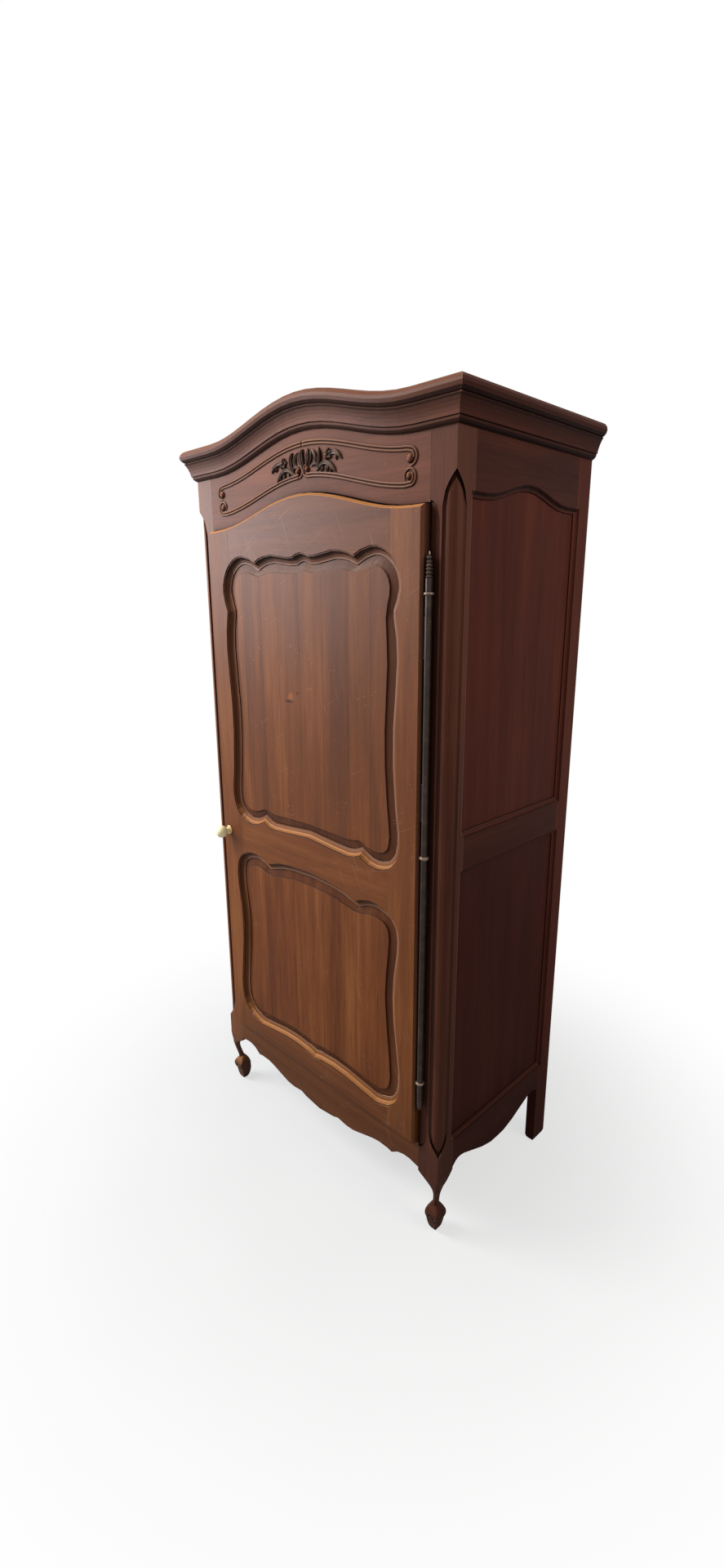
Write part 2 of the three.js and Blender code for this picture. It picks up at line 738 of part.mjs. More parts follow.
// The edges of the leaves that are let into the post and into the door
const lowerLeafBases = [hingeFoot + leafHeight / 2, hingeMiddle - leafHeight * 2];
const upperLeafBases = [hingeMiddle + leafHeight, hingeTop - leafHeight * 3 / 2];
const postLeafX = [hingeX - leafThickness / 2, hingeX + leafThickness / 2];
const postLeafY = [barrelRadius / 2 - hingeProud, leafDepth];
const doorLeafX = [doorHalf - leafDepth, hingeX - barrelRadius / 2];
const doorLeafY = [-hingeProud - leafThickness / 2, -hingeProud + leafThickness / 2];

function frontPost() {
  let post = block([postInner, caseHalf], [0, frontPostDepth], [legHeight, frameTop]);
  post = post.subtract(cornerCut());
  post = cutSides(post);
  post = post.add(frontLeg()).add(scrollFoot());
  post = post.subtract(block([postInner - overrun, openingHalf], [-overrun, rebateDepth],
    [ankleHeight, frameTop + overrun]));
  for (const z of [friezeTenonZ, apronTenonZ]) post = post.subtract(pocket(frontTenonX, frontTenonY, z));
  for (const z of Object.values(sideTenonHeights)) post = post.subtract(pocket(sideTenonX, sideTenonY, z));
  return post;
}

const plainPost = frontPost();
let hingePost = plainPost.subtract(hingeHollow());
for (const z of lowerLeafBases) {
  hingePost = hingePost.subtract(pocket(postLeafX, postLeafY, [z, z + leafHeight]));
}

// Rear posts

function rearPost() {
  const x = [backHalf, caseHalf];
  const foot = (shrink) => flat([
    [x[0] + shrink, rearPostFront + shrink], [x[1] - shrink, rearPostFront + shrink],
    [x[1] - shrink, caseDepth - shrink], [x[0] + shrink, caseDepth - shrink],
  ]);
  const rings = toeShares.map(([inward, up]) => ({ outline: foot(inward * footRise), at: up * footRise }));
  rings.push({ outline: foot(0), at: frameTop });
  let post = cutBack(cutSides(loft(rings, onPlan)));
  for (const z of Object.values(sideTenonHeights)) post = post.subtract(pocket(sideTenonX, sideTenonY, z));
  for (const z of Object.values(backTenonHeights)) post = post.subtract(pocket(backTenonX, backTenonY, z));
  return post;
}

// Front rails

const railShoulder = openingHalf - fitGap;

function trimShoulders(rail) {
  const behind = [rebateDepth - fitGap, frontRailThickness + overrun];
  const outer = [postInner - fitGap, caseHalf];
  const height = [-overrun, frameTop + waveRise + overrun];
  return rail.subtract(block(outer, behind, height)).subtract(block([-outer[1], -outer[0]], behind, height));
}

function addFrontTenons(rail, z) {
  const left = [-frontTenonX[1], -frontTenonX[0]];
  return rail.add(block(frontTenonX, frontTenonY, z)).add(block(left, frontTenonY, z));
}

function friezeRail() {
  const foot = doorShoulder + doorGap;
  const top = waveLine(railShoulder, frameTop).reverse();
  let rail = prism([...waveLine(railShoulder, foot - rebateWidth), ...top], 0, frontRailThickness, onFront);
  const room = [...waveLine(openingHalf + overrun, foot - rebateWidth - waveRise),
    ...waveLine(openingHalf + overrun, foot).reverse()];
  rail = rail.subtract(prism(room, -overrun, rebateDepth, onFront));
  return addFrontTenons(trimShoulders(rail), friezeTenonZ);
}

function apronEdge() {
  const toPlace = ([x, z]) => new THREE.Vector2(x * openingHalf, z * apronRise);
  const right = chain(apronShares.map((run) => smooth(run.map(toPlace))));
  right[right.length - 1].x = railShoulder;
  const left = right.slice(1).reverse().map((p) => new THREE.Vector2(-p.x, p.y));
  return [...left, ...right];
}

function frontApron() {
  const top = doorBottom - doorGap;
  const outline = [...apronEdge(),
    ...flat([[railShoulder, top + rebateWidth], [-railShoulder, top + rebateWidth]])];
  const room = block([-caseHalf, caseHalf], [-overrun, rebateDepth], [top, top + rebateWidth + overrun]);
  const rail = prism(outline, 0, frontRailThickness, onFront).subtract(room);
  return addFrontTenons(trimShoulders(rail), apronTenonZ);
}

// Side rails

const sideLength = [frontPostDepth + fitGap, rearPostFront - fitGap];
const sideRailX = [caseHalf - sideRailThickness, caseHalf];

function sideRail(z, tenonZ) {
  return cutSides(block(sideRailX, sideLength, z)).add(block(sideTenonX, sideTenonY, tenonZ));
}

function sideBottomRail() {
  const middle = (sideLength[0] + sideLength[1]) / 2;
  const half = (sideLength[1] - sideLength[0]) / 2;
  const toPlace = ([s, h]) => new THREE.Vector2(s * half, sideApronRise + h * sideApronHeight);
  const rear = smooth(sideApronShares.map(toPlace));
  const front = rear.slice(1).reverse().map((p) => new THREE.Vector2(-p.x, p.y));
  const edge = [...front, ...rear].map((p) => new THREE.Vector2(middle + p.x, p.y));
  const top = sideSillTop + sideMoulding;
  const outline = [...edge, ...flat([[sideLength[1], top], [sideLength[0], top]])];
  const rail = cutSides(prism(outline, 0, sideRailThickness, onSide));
  return rail.add(block(sideTenonX, sideTenonY, sideTenonHeights.bottom));
}

function sidePanel(outline) {
  const edge = inset(outline, sideMoulding - grooveDepth + fitGap);
  return prism(edge, sideGrooveFront + fitGap, sideGrooveFront + sideGrooveWidth - fitGap, onSide);
}

// Back rails and panels

const backLength = [-backHalf + fitGap, backHalf - fitGap];
const backRailY = [caseDepth - backRailThickness, caseDepth];

function backRail(z, tenonZ) {
  const left = [-backTenonX[1], -backTenonX[0]];
  return cutBack(block(backLength, backRailY, z)).add(block(backTenonX, backTenonY, tenonZ))
    .add(block(left, backTenonY, tenonZ));
}

function backPanel(outline) {
  return prism(inset(outline, fitGap - grooveDepth), backGrooveFront + fitGap,
    backGrooveFront + backGrooveWidth - fitGap, onBack);
}

// Boards, shelves and cleats

const boardY = [frontRailThickness + fitGap, caseDepth - backRailThickness - fitGap];
const boardHalf = caseHalf - sideRailThickness - fitGap;
const cleatX = [backHalf - cleatWidth - fitGap, backHalf - fitGap];
const cleatY = [frontPostDepth + fitGap, caseDepth - backRailThickness - fitGap];

function board(z) {
  let shape = block([-boardHalf, boardHalf], boardY, z);
  const postY = [-overrun, frontPostDepth + fitGap];
  const rearY = [rearPostFront - fitGap, caseDepth];
  const past = [z[0] - overrun, z[1] + overrun];
  for (const [inner, y] of [[postInner - fitGap, postY], [backHalf - fitGap, rearY]]) {
    shape = shape.subtract(block([inner, caseHalf], y, past)).subtract(block([-caseHalf, -inner], y, past));
  }
  return shape;
}

function shelf(height) {
  const half = backHalf - fitGap;
  return block([-half, half], cleatY, [height, height + shelfThickness]);
}

function cleat(boardHeight) {
  return block(cleatX, cleatY, [boardHeight - fitGap - cleatHeight, boardHeight - fitGap]);
}

// Cornice

function corniceSection() {
  const outer = corniceShares.map(([p, z]) => [p * corniceReach, z * corniceHeight]);
  const seat = railTopRise + fitGap;
  return flat([[fitGap, 0], ...outer, [-corniceTopCover, corniceHeight], [-corniceTopCover, seat],
    [fitGap, seat]]);
}

function corniceFront() {
  const outline = corniceSection();
  const rings = waveStops(caseHalf).map((at) => ({ outline, at }));
  return loft(rings, (p, z, x) => {
    const mitre = Math.abs(x) < caseHalf ? 0 : Math.sign(x) * (p - fitGap);
    return new THREE.Vector3(x + mitre, -p, corniceBase + z + wave(x));
  });
}

function corniceSide() {
  const outline = corniceSection();
  return loft([{ outline, at: 0 }, { outline, at: 1 }], (p, z, end) => (
    new THREE.Vector3(caseHalf + p, end ? caseDepth : fitGap - p, corniceBase + z)));
}

// Door

const depthOnDoor = (x, z, depth) => new THREE.Vector3(x, depth - doorProud, z);

const doorSteps = [
  [0, -overrun], [0, beadStep], [beadWidth, beadStep],
  ...coveShares.map(([inward, depth]) => [beadWidth + coveWidth * inward, beadStep + coveDepth * depth]),
  [mouldingWidth, beadStep + coveDepth],
  [mouldingWidth, grooveFront], [mouldingWidth - grooveDepth, grooveFront],
  [mouldingWidth - grooveDepth, grooveFront + grooveWidth], [mouldingWidth, grooveFront + grooveWidth],
  [mouldingWidth, doorThickness + overrun],
];
const upperOutline = openingOutline(upperOpeningShares, upperOpening);
const lowerOutline = openingOutline(lowerOpeningShares, lowerOpening);

function doorOutline(shrink) {
  return [...waveLine(doorHalf - shrink, doorShoulder - shrink),
    ...flat([[doorHalf - shrink, doorBottom + shrink], [shrink - doorHalf, doorBottom + shrink]])];
}

const doorFrame = loft([
  { outline: doorOutline(doorChamfer), at: 0 }, { outline: doorOutline(0), at: doorChamfer },
  { outline: doorOutline(0), at: doorThickness },
], depthOnDoor).subtract(cutter(upperOutline, doorSteps, depthOnDoor))
  .subtract(cutter(lowerOutline, doorSteps, depthOnDoor));

const doorTenonY = [-tenonThickness, 0];
const stileInner = doorHalf - stileWidth;
const doorTenonX = [stileInner - overrun, stileInner + stileWidth / 2];
const upAt = (opening, share) => THREE.MathUtils.lerp(opening.bottom, opening.top, share);
const doorRails = [
  {
    name: "door_top_rail",
    z: [upAt(upperOpening, 1 - turnShare), doorShoulder + waveRise + overrun],
    tenon: [upperOpening.top + tenonShoulder / 2, doorShoulder - tenonShoulder],
  },
  {
    name: "door_mid_rail",
    z: [upAt(lowerOpening, 1 - turnShare), upAt(upperOpening, turnShare)],
    tenon: [lowerOpening.top + tenonShoulder / 2, upperOpening.bottom - tenonShoulder / 2],
  },
  {
    name: "door_bottom_rail",
    z: [doorBottom - overrun, upAt(lowerOpening, turnShare)],
    tenon: [doorBottom + tenonShoulder / 2, lowerOpening.bottom],
  },
];

function doorRail(rail) {
  const reach = stileInner - fitGap;
  const middle = doorFrame.intersect(block([-reach, reach], [-caseDepth, caseDepth], rail.z));
  const left = [-doorTenonX[1], -doorTenonX[0]];
  return middle.add(block(doorTenonX, doorTenonY, rail.tenon)).add(block(left, doorTenonY, rail.tenon));
}

function doorStile() {
  let stile = doorFrame.intersect(block([stileInner, caseHalf], [-caseDepth, caseDepth], [0, frameTop]));
  for (const rail of doorRails) stile = stile.subtract(pocket(doorTenonX, doorTenonY, rail.tenon));
  return stile;
}

function hingeStile() {
  let stile = doorStile();
  for (const z of upperLeafBases) stile = stile.subtract(pocket(doorLeafX, doorLeafY, [z, z + leafHeight]));
  return stile;
}

const knobX = knobInset - doorHalf;

// A round rod that runs from front to back through the door at the knob
function throughDoor(radius, from, to) {
  const rod = new THREE.CylinderGeometry(radius, radius, to - from, turnSides);
  rod.translate(knobX, (from + to) / 2, knobHeight);
  return solid(rod);
}

function lockStile() {
  const stile = mirrored(doorStile());
  return stile.subtract(throughDoor(screwRadius + fitGap, -doorProud - overrun, doorBack + overrun))
    .subtract(throughDoor(screwHead + fitGap, doorBack - screwHeadHeight - fitGap, doorBack + overrun));
}

function doorPanel(outline, opening) {
  const tongue = mouldingWidth - grooveDepth + fitGap;
  const front = grooveFront + fitGap;
  const back = grooveFront + grooveWidth - fitGap;
  const field = softened(drawnIn(outline, opening, mouldingWidth + bevelWidth), softenRounds);
  const edge = inset(outline, tongue);
  const foot = inset(outline, mouldingWidth + bevelMargin);
  return loft([
    { outline: edge, at: back }, { outline: edge, at: front }, { outline: foot, at: front },
    { outline: field, at: front - bevelDepth },
    { outline: inset(field, fieldStep / 2), at: front - bevelDepth - fieldStep },
  ], depthOnDoor);
}

// Knob, on a profile of [radius, distance from the face of the door]

function turnedOnDoor(profile) {
  const shape = lathe(profile.map(([r, h]) => [r, -h]), turnSides);
  shape.translate(knobX, -doorProud, knobHeight);
  return solid(shape);
}

function knobBall() {
  const neck = roseHeight + 2 * fitGap;
  const start = Math.asin(knobNeck / knobRadius);
  const bore = screwRadius + fitGap;
  const profile = [[0, knobStand], [bore, knobStand], [bore, neck], [knobNeck, neck]];
  const steps = 2 * arcSteps;
  for (let i = 0; i <= steps; i += 1) {
    const angle = start + ((Math.PI - start) * i) / steps;
    const radius = i === steps ? 0 : knobRadius * Math.sin(angle);
    profile.push([radius, knobStand - knobRadius * Math.cos(angle)]);
  }
  return turnedOnDoor(profile);
}

function knobRose() {
  const bore = screwRadius + fitGap;
  const low = fitGap;
  const high = low + roseHeight;
  return turnedOnDoor([[bore, low], [roseRadius, low], [roseRadius, low + roseHeight / 2],
    [roseRadius - roseHeight / 2, high], [bore, high], [bore, low]]);
}

function knobScrew() {
  const back = -doorThickness;
  return turnedOnDoor([[0, back], [screwHead, back], [screwHead, back + screwHeadHeight],
    [screwRadius, back + screwHeadHeight], [screwRadius, knobStand - 2 * fitGap],
    [0, knobStand - 2 * fitGap]]);
}

// Hinge barrels, on profiles of [radius, height]

const ringHalf = ringHeight / 2;

function turnedOnHinge(profile) {
  const shape = lathe(profile.map(([r, h]) => [r, -h]), hingeSides);
  shape.rotateX(-Math.PI / 2);
  shape.translate(hingeX, -hingeProud, 0);
  return solid(shape);
}

function barrel(length, neck, way, endShares, endHeight) {
  const seat = ringHalf + fitGap;
  const bore = pinRadius + fitGap;
  const boreEnd = pinLength / 2 + fitGap;
  const collar = [[barrelRadius, length], [collarRadius, length + collarHeight / 4],
    [collarRadius, length + collarHeight * 3 / 4], [barrelRadius, length + collarHeight]];
  const start = length + collarHeight + neck;
  const end = endShares.map(([r, h]) => [r * barrelRadius, start + h * endHeight]);
  const profile = [[0, boreEnd], [bore, boreEnd], [bore, seat], [barrelRadius, seat], ...collar, ...end,
    [0, start + endHeight]];
  return profile.map(([r, h]) => [r, hingeMiddle + way * h]);
}

function upperBarrel() {
  const turned = turnedOnHinge(barrel(hingeTop - hingeMiddle, neckHeight, 1, finialShares, finialHeight));
  const leaves = upperLeafBases.map((z) => block(doorLeafX, doorLeafY, [z, z + leafHeight]));
  return leaves.reduce((shape, leaf) => shape.add(leaf), turned);
}

function lowerBarrel() {
  const turned = turnedOnHinge(barrel(hingeMiddle - hingeFoot, footNeckHeight, -1, dropShares, dropHeight));
  const leaves = lowerLeafBases.map((z) => block(postLeafX, postLeafY, [z, z + leafHeight]));
  return leaves.reduce((shape, leaf) => shape.add(leaf), turned);
}

function hingeRing() {
  const bore = pinRadius + fitGap;
  return turnedOnHinge([[bore, hingeMiddle - ringHalf], [collarRadius, hingeMiddle - ringHalf],
    [collarRadius, hingeMiddle + ringHalf], [bore, hingeMiddle + ringHalf], [bore, hingeMiddle - ringHalf]]);
}

function hingePin() {
  const half = pinLength / 2;
  return turnedOnHinge([[0, hingeMiddle - half], [pinRadius, hingeMiddle - half],
    [pinRadius, hingeMiddle + half], [0, hingeMiddle + half]]);
}

// Catch: a plate on the back of the door meets a body on the side of the left post

const catchX = [-postInner + fitGap, -postInner + fitGap + catchWidth];
const catchZ = [catchLevel, catchLevel + catchHeight];
const strikeY = [doorBack + fitGap, doorBack + fitGap + strikeThickness];

// Materials, by eye from the cabinet

function finish(color, roughness, metalness) {
  return () => new THREE.MeshStandardMaterial({ color, roughness, metalness });
}
const walnut = finish(0x6b4230, 0.42, 0);
const walnutPanel = finish(0x754a31, 0.4, 0);
const sideWood = finish(0x4a2a20, 0.45, 0);
const innerWood = finish(0x8a6a4a, 0.7, 0);
const bronze = finish(0x4b4036, 0.4, 0.9);
const ivory = finish(0xe6dcae, 0.25, 0);

// The scene graph

const cabinet = new THREE.Group();
cabinet.name = "cabinet";
const door = new THREE.Group();
door.name = "door";
cabinet.add(door);

function addPiece(group, name, shape, material) {
  const mesh = new THREE.Mesh(geometryOf(shape), material());
  mesh.name = name;
  group.add(mesh);
}

function addPair(name, shape, material) {
  addPiece(cabinet, `${name}_right`, shape, material);
  addPiece(cabinet, `${name}_left`, mirrored(shape), material);
}

addPiece(cabinet, "front_post_right", hingePost, walnut);
addPiece(cabinet, "front_post_left", mirrored(plainPost), walnut);
addPair("rear_post", rearPost(), sideWood);
addPiece(cabinet, "frieze_rail", friezeRail(), walnut);
addPiece(cabinet, "front_apron", frontApron(), walnut);

addPair("side_top_rail", sideRail([sidePanelTop - sideMoulding, frameTop], sideTenonHeights.top), sideWood);
addPair("side_mid_rail",
  sideRail([sideMidFoot - sideMoulding, sideMidTop + sideMoulding], sideTenonHeights.mid), sideWood);
addPair("side_bottom_rail", sideBottomRail(), sideWood);
addPair("side_upper_panel", sidePanel(sideUpperOutline()), sideWood);
addPair("side_lower_panel", sidePanel(sideLowerOutline()), sideWood);

addPiece(cabinet, "back_top_rail", backRail([backTop, frameTop], backTenonHeights.top), innerWood);
const backMid = [backMiddle - backRailWidth / 2, backMiddle + backRailWidth / 2];
addPiece(cabinet, "back_mid_rail", backRail(backMid, backTenonHeights.mid), innerWood);
addPiece(cabinet, "back_bottom_rail", backRail([legHeight, backSill], backTenonHeights.bottom), innerWood);
addPiece(cabinet, "back_upper_panel", backPanel(backUpper), innerWood);
addPiece(cabinet, "back_lower_panel", backPanel(backLower), innerWood);

const bottomTop = doorBottom - doorGap + rebateWidth;
addPiece(cabinet, "bottom_board", board([bottomTop - boardThickness, bottomTop]), innerWood);
addPair("bottom_cleat", cleat(bottomTop - boardThickness), innerWood);
addPiece(cabinet, "top_board", board([topBoardHeight, topBoardHeight + boardThickness]), innerWood);
addPair("top_cleat", cleat(topBoardHeight), innerWood);
shelfHeights.forEach((height, i) => {
  addPiece(cabinet, `shelf_${i + 1}`, shelf(height), innerWood);
  addPair(`shelf_cleat_${i + 1}`, cleat(height), innerWood);
});

addPiece(cabinet, "cornice_front", corniceFront(), walnut);
addPair("cornice_side", corniceSide(), sideWood);

addPiece(cabinet, "hinge_lower_barrel", lowerBarrel(), bronze);
addPiece(cabinet, "hinge_pin", hingePin(), bronze);
addPiece(cabinet, "hinge_ring", hingeRing(), bronze);
addPiece(cabinet, "catch_body",
  block(catchX, [strikeY[1] + fitGap, strikeY[1] + fitGap + catchDepth], catchZ), bronze);

addPiece(door, "door_hinge_stile", hingeStile(), walnut);
addPiece(door, "door_lock_stile", lockStile(), walnut);
for (const rail of doorRails) addPiece(door, rail.name, doorRail(rail), walnut);
addPiece(door, "door_upper_panel", doorPanel(upperOutline, upperOpening), walnutPanel);
addPiece(door, "door_lower_panel", doorPanel(lowerOutline, lowerOpening), walnutPanel);
addPiece(door, "hinge_upper_barrel", upperBarrel(), bronze);
addPiece(door, "door_knob", knobBall(), ivory);
addPiece(door, "knob_rose", knobRose(), bronze);
addPiece(door, "knob_screw", knobScrew(), bronze);
addPiece(door, "catch_strike", block(catchX, strikeY, catchZ), bronze);

// The knob is what stands furthest forward, and the back of the posts furthest back
const frontReach = doorProud + knobStand + knobRadius;
cabinet.position.y = (frontReach - caseDepth) / 2;

export default cabinet;
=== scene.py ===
# %% [markdown]
# # A bonnetiere, dressed for the camera
# The cabinet is an old country linen cupboard in dark, waxed walnut: one tall door under a cornice that
# rises in a wave, and two front legs that end in scrolls. Its solids come packed, in metres, with the front
# facing -Y and the floor at z = 0. Here most of them only get their finish. Carving too fine for the solids is
# laid on the frieze, the knob and the hinge's collars are turned more finely, and a floor, lamps and a camera
# are put round it all.

# %% Load the packed cabinet
import math

import bpy
from mathutils import Matrix, Vector


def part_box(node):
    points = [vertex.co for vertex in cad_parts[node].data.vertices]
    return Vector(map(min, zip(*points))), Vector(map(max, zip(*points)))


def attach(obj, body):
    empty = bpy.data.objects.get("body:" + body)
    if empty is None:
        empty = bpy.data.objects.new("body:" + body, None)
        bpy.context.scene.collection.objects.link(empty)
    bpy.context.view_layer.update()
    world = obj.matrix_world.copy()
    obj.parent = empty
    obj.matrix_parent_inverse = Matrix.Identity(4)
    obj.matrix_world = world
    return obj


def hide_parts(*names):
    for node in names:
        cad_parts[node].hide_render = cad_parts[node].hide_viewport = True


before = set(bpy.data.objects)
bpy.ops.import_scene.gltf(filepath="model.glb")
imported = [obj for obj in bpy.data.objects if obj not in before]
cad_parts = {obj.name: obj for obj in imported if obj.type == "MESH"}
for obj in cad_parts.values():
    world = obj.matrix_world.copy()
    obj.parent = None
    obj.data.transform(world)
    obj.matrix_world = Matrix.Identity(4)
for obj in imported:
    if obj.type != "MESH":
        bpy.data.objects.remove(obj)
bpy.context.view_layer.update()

# %% [markdown]
# ## The camera
# The photograph was taken from the cabinet's right front corner at about eye height, close by, so upright
# lines lean a little. A wide lens close to the cabinet gives the same leaning lines; a long lens from afar
# would straighten them. The camera's three axes come from its turn about the upright, its tilt and a slight
# lean, and its focal length is written in the photograph's own pixels.

# %% Camera at the photograph's angle
photo_height, focal_pixels, sensor_width = 1920, 842.57, 36
eye = Vector((1.2505, -1.2782, 1.4991))
turn, tilt, lean = (math.radians(angle) for angle in (45.23, -14.80, -0.335))
ahead = Vector((-math.sin(turn) * math.cos(tilt), math.cos(turn) * math.cos(tilt), math.sin(tilt)))
right = Vector((math.cos(turn), math.sin(turn), 0))
above = right.cross(ahead)
axes = Matrix((right, above, -ahead)).transposed() @ Matrix.Rotation(lean, 3, "Z")

lens = bpy.data.cameras.new("camera")
lens.sensor_width = sensor_width
lens.lens = focal_pixels * sensor_width / photo_height
lens.clip_start = 0.05
camera = bpy.data.objects.new("camera", lens)
camera.matrix_world = Matrix.Translation(eye) @ axes.to_4x4()
bpy.context.scene.collection.objects.link(camera)
bpy.context.scene.camera = camera
bpy.context.scene.view_settings.view_transform = "Standard"
print("lens", round(lens.lens, 2), "mm, at", tuple(round(c, 2) for c in eye))

# %% [markdown]
# ## Reckoning with sockets
# A finish is a net of nodes. Wired by hand, a mask such as "where it is not worn" takes three lines; wrapped
# in a small class it reads as 1 - worn. Every operator adds one Math node, and `node` adds any other kind.

# %% A socket that can be added, scaled and subtracted
class Value:
    """One output of a net's nodes."""

    def __init__(self, net, socket):
        self.net, self.socket = net, socket

    def reckon(self, operation, *values):
        return self.net.node("ShaderNodeMath", {"operation": operation}, dict(enumerate(values)))

    def __add__(self, other):
        return self.reckon("ADD", self, other)

    def __sub__(self, other):
        return self.reckon("SUBTRACT", self, other)

    def __rsub__(self, other):
        return self.reckon("SUBTRACT", other, self)

    def __mul__(self, other):
        return self.reckon("MULTIPLY", self, other)

    def __truediv__(self, other):
        return self.reckon("DIVIDE", self, other)

    def __pow__(self, other):
        return self.reckon("POWER", self, other)

    __radd__ = __add__
    __rmul__ = __mul__

    def size(self):
        return self.reckon("ABSOLUTE", self)

    def most(self, other):
        return self.reckon("MAXIMUM", self, other)

    def back_and_forth(self, reach):
        """Climbs to the reach and falls back to 0, over and over."""
        return self.reckon("PINGPONG", self, reach)

    def between(self, low, high):
        """0 below low, 1 above high, and a soft step between them."""
        return self.net.node("ShaderNodeMapRange", {"interpolation_type": "SMOOTHSTEP"},
                             {"Value": self, "From Min": low, "From Max": high})


print("operators: + - * / **")

# %% [markdown]
# ## A finish
# Each finish is one material with a Principled shader. What changes over a surface is handed to `paint`; what
# is the same all over goes straight onto the shader's own sockets. The world has nodes too, so the method that
# makes a node belongs to any net of them.

# %% A net of nodes, and one material
class Net:
    """The nodes of a material or of the world, all made by one method."""

    def __init__(self, tree):
        self.nodes, self.links = tree.nodes, tree.links

    def node(self, kind, settings=None, values=None, out=0):
        """Adds a node: its settings first, then its sockets' values or links; gives one of its outputs."""
        made = self.nodes.new(kind)
        for name, setting in (settings or {}).items():
            if name == "stops":
                self.set_stops(made.color_ramp.elements, setting)
            else:
                setattr(made, name, setting)
        for socket, value in (values or {}).items():
            if isinstance(value, Value):
                self.links.new(value.socket, made.inputs[socket])
            else:
                made.inputs[socket].default_value = value
        return Value(self, made.outputs[out])

    @staticmethod
    def set_stops(elements, stops):
        while len(elements) < len(stops):
            elements.new(1)
        for element, (place, shade) in zip(elements, stops):
            element.position = place
            element.color = (*shade, 1)


class Finish(Net):
    """One material, with its Principled shader."""

    def __init__(self, name, **fixed):
        self.material = bpy.data.materials.new(name)
        self.material.use_nodes = True
        super().__init__(self.material.node_tree)
        self.shader = self.nodes["Principled BSDF"]
        for socket, value in fixed.items():
            self.shader.inputs[socket.replace("_", " ")].default_value = value

    def paint(self, **values):
        for name, value in values.items():
            self.links.new(value.socket, self.shader.inputs[name.replace("_", " ")])
        return self.material


print("one method makes every node:", Net.node.__doc__)

# %% [markdown]
# Colours are easier to judge as a screen shows them, 0 to 255, but a shader reckons with light. `colour` turns
# one into the other, `ramp` lays colours along a value from 0 to 1, and `blend` lays one over another.

# %% Colours
def colour(*screen):
    shares = [value / 255 for value in screen]
    return tuple(s / 12.92 if s <= 0.04045 else ((s + 0.055) / 1.055) ** 2.4 for s in shares)


def ramp(finish, share, *stops):
    return finish.node("ShaderNodeValToRGB", {"stops": stops}, {"Fac": share}, "Color")


def blend(finish, share, below, above, way="MIX"):
    """Colour below, with a share of the colour above laid over it."""
    shades = [(*shade, 1) if isinstance(shade, tuple) else shade for shade in (below, above)]
    return finish.node("ShaderNodeMix", {"data_type": "RGBA", "blend_type": way},
                       {"Factor": share, "A": shades[0], "B": shades[1]}, "Result")


print("walnut as light:", [round(c, 3) for c in colour(112, 69, 42)])

# %% [markdown]
# ## Places and noise
# Every pattern starts from a place on the piece, in metres. Object coordinates are used, because they turn
# with the door. Marks that differ from place to place come from a noise, which is soft and never repeats.

# %% Places, noise and fine relief
def here(finish):
    """The place on the piece, with the cabinet's own axes."""
    return finish.node("ShaderNodeTexCoord", out="Object")


def part_of(finish, vector, axis):
    return finish.node("ShaderNodeSeparateXYZ", values={0: vector}, out=axis.upper())


def facing(finish, axis):
    """1 where the surface faces along the axis, -1 where it faces against it."""
    return part_of(finish, finish.node("ShaderNodeTexCoord", out="Normal"), axis)


def stretched(finish, place, scale):
    return finish.node("ShaderNodeVectorMath", {"operation": "MULTIPLY"}, {0: place, 1: scale})


def noise(finish, place, scale, detail=2.0, roughness=0.5, distortion=0.0):
    return finish.node("ShaderNodeTexNoise", out="Fac", values={
        "Vector": place, "Scale": scale, "Detail": detail, "Roughness": roughness, "Distortion": distortion})


def relief(finish, height, strength, depth, rounding=None):
    """Small bumps from a height; with a rounding, in metres, the piece's edges catch light as rounded ones."""
    values = {"Strength": strength, "Distance": depth, "Height": height}
    if rounding:
        values["Normal"] = finish.node("ShaderNodeBevel", {"samples": 4}, {"Radius": rounding}, "Normal")
    return finish.node("ShaderNodeBump", values=values, out="Normal")


print("packed materials, before any finish:", len(bpy.data.materials))

# %% [markdown]
# ## Wood
# A board is a cut through a tree. Its growth shows as long, soft bands of lighter and darker wood, with fine
# fibres in them. A noise squeezed across the board and drawn out along it gives both, at several scales; a
# rounder one gives the cloudy patches of walnut. The grain runs along the piece, so a rail's lies across a
# stile's. Bands that are too strong look like zebra stripes, so the tones stay close together.

# %% Grain
patch_stretch, band_stretch, fibre_stretch = 0.25, 0.055, 0.03


def drawn_out(finish, along, stretch):
    """The place on the board, drawn out along its grain, and shifted so that no two boards are alike."""
    chance = finish.node("ShaderNodeObjectInfo", out="Random")
    shift = finish.node("ShaderNodeCombineXYZ", values={0: chance * 7.0, 1: chance * 5.0, 2: chance * 3.0})
    moved = finish.node("ShaderNodeVectorMath", {"operation": "ADD"}, {0: here(finish), 1: shift})
    return stretched(finish, moved, [stretch if axis == along else 1.0 for axis in "xyz"])


def grain(finish, along, board):
    """Patches, bands, streaks, fibres and pores, each finer than the one before it."""
    cloud = noise(finish, drawn_out(finish, along, patch_stretch), 7.0, 3.0, 0.5, 0.3)
    band = noise(finish, board, 26.0, 3.0, 0.5, 0.25)
    streak = noise(finish, board, 95.0, 4.0, 0.6, 0.2)
    fibre = noise(finish, drawn_out(finish, along, fibre_stretch), 430.0, 2.0, 0.6)
    pore = noise(finish, drawn_out(finish, along, fibre_stretch), 620.0, 1.0).between(0.6, 0.7)
    return cloud, band, streak, fibre, pore


print("a band is", round(1 / band_stretch), "times as long as it is wide, a fibre", round(1 / fibre_stretch))

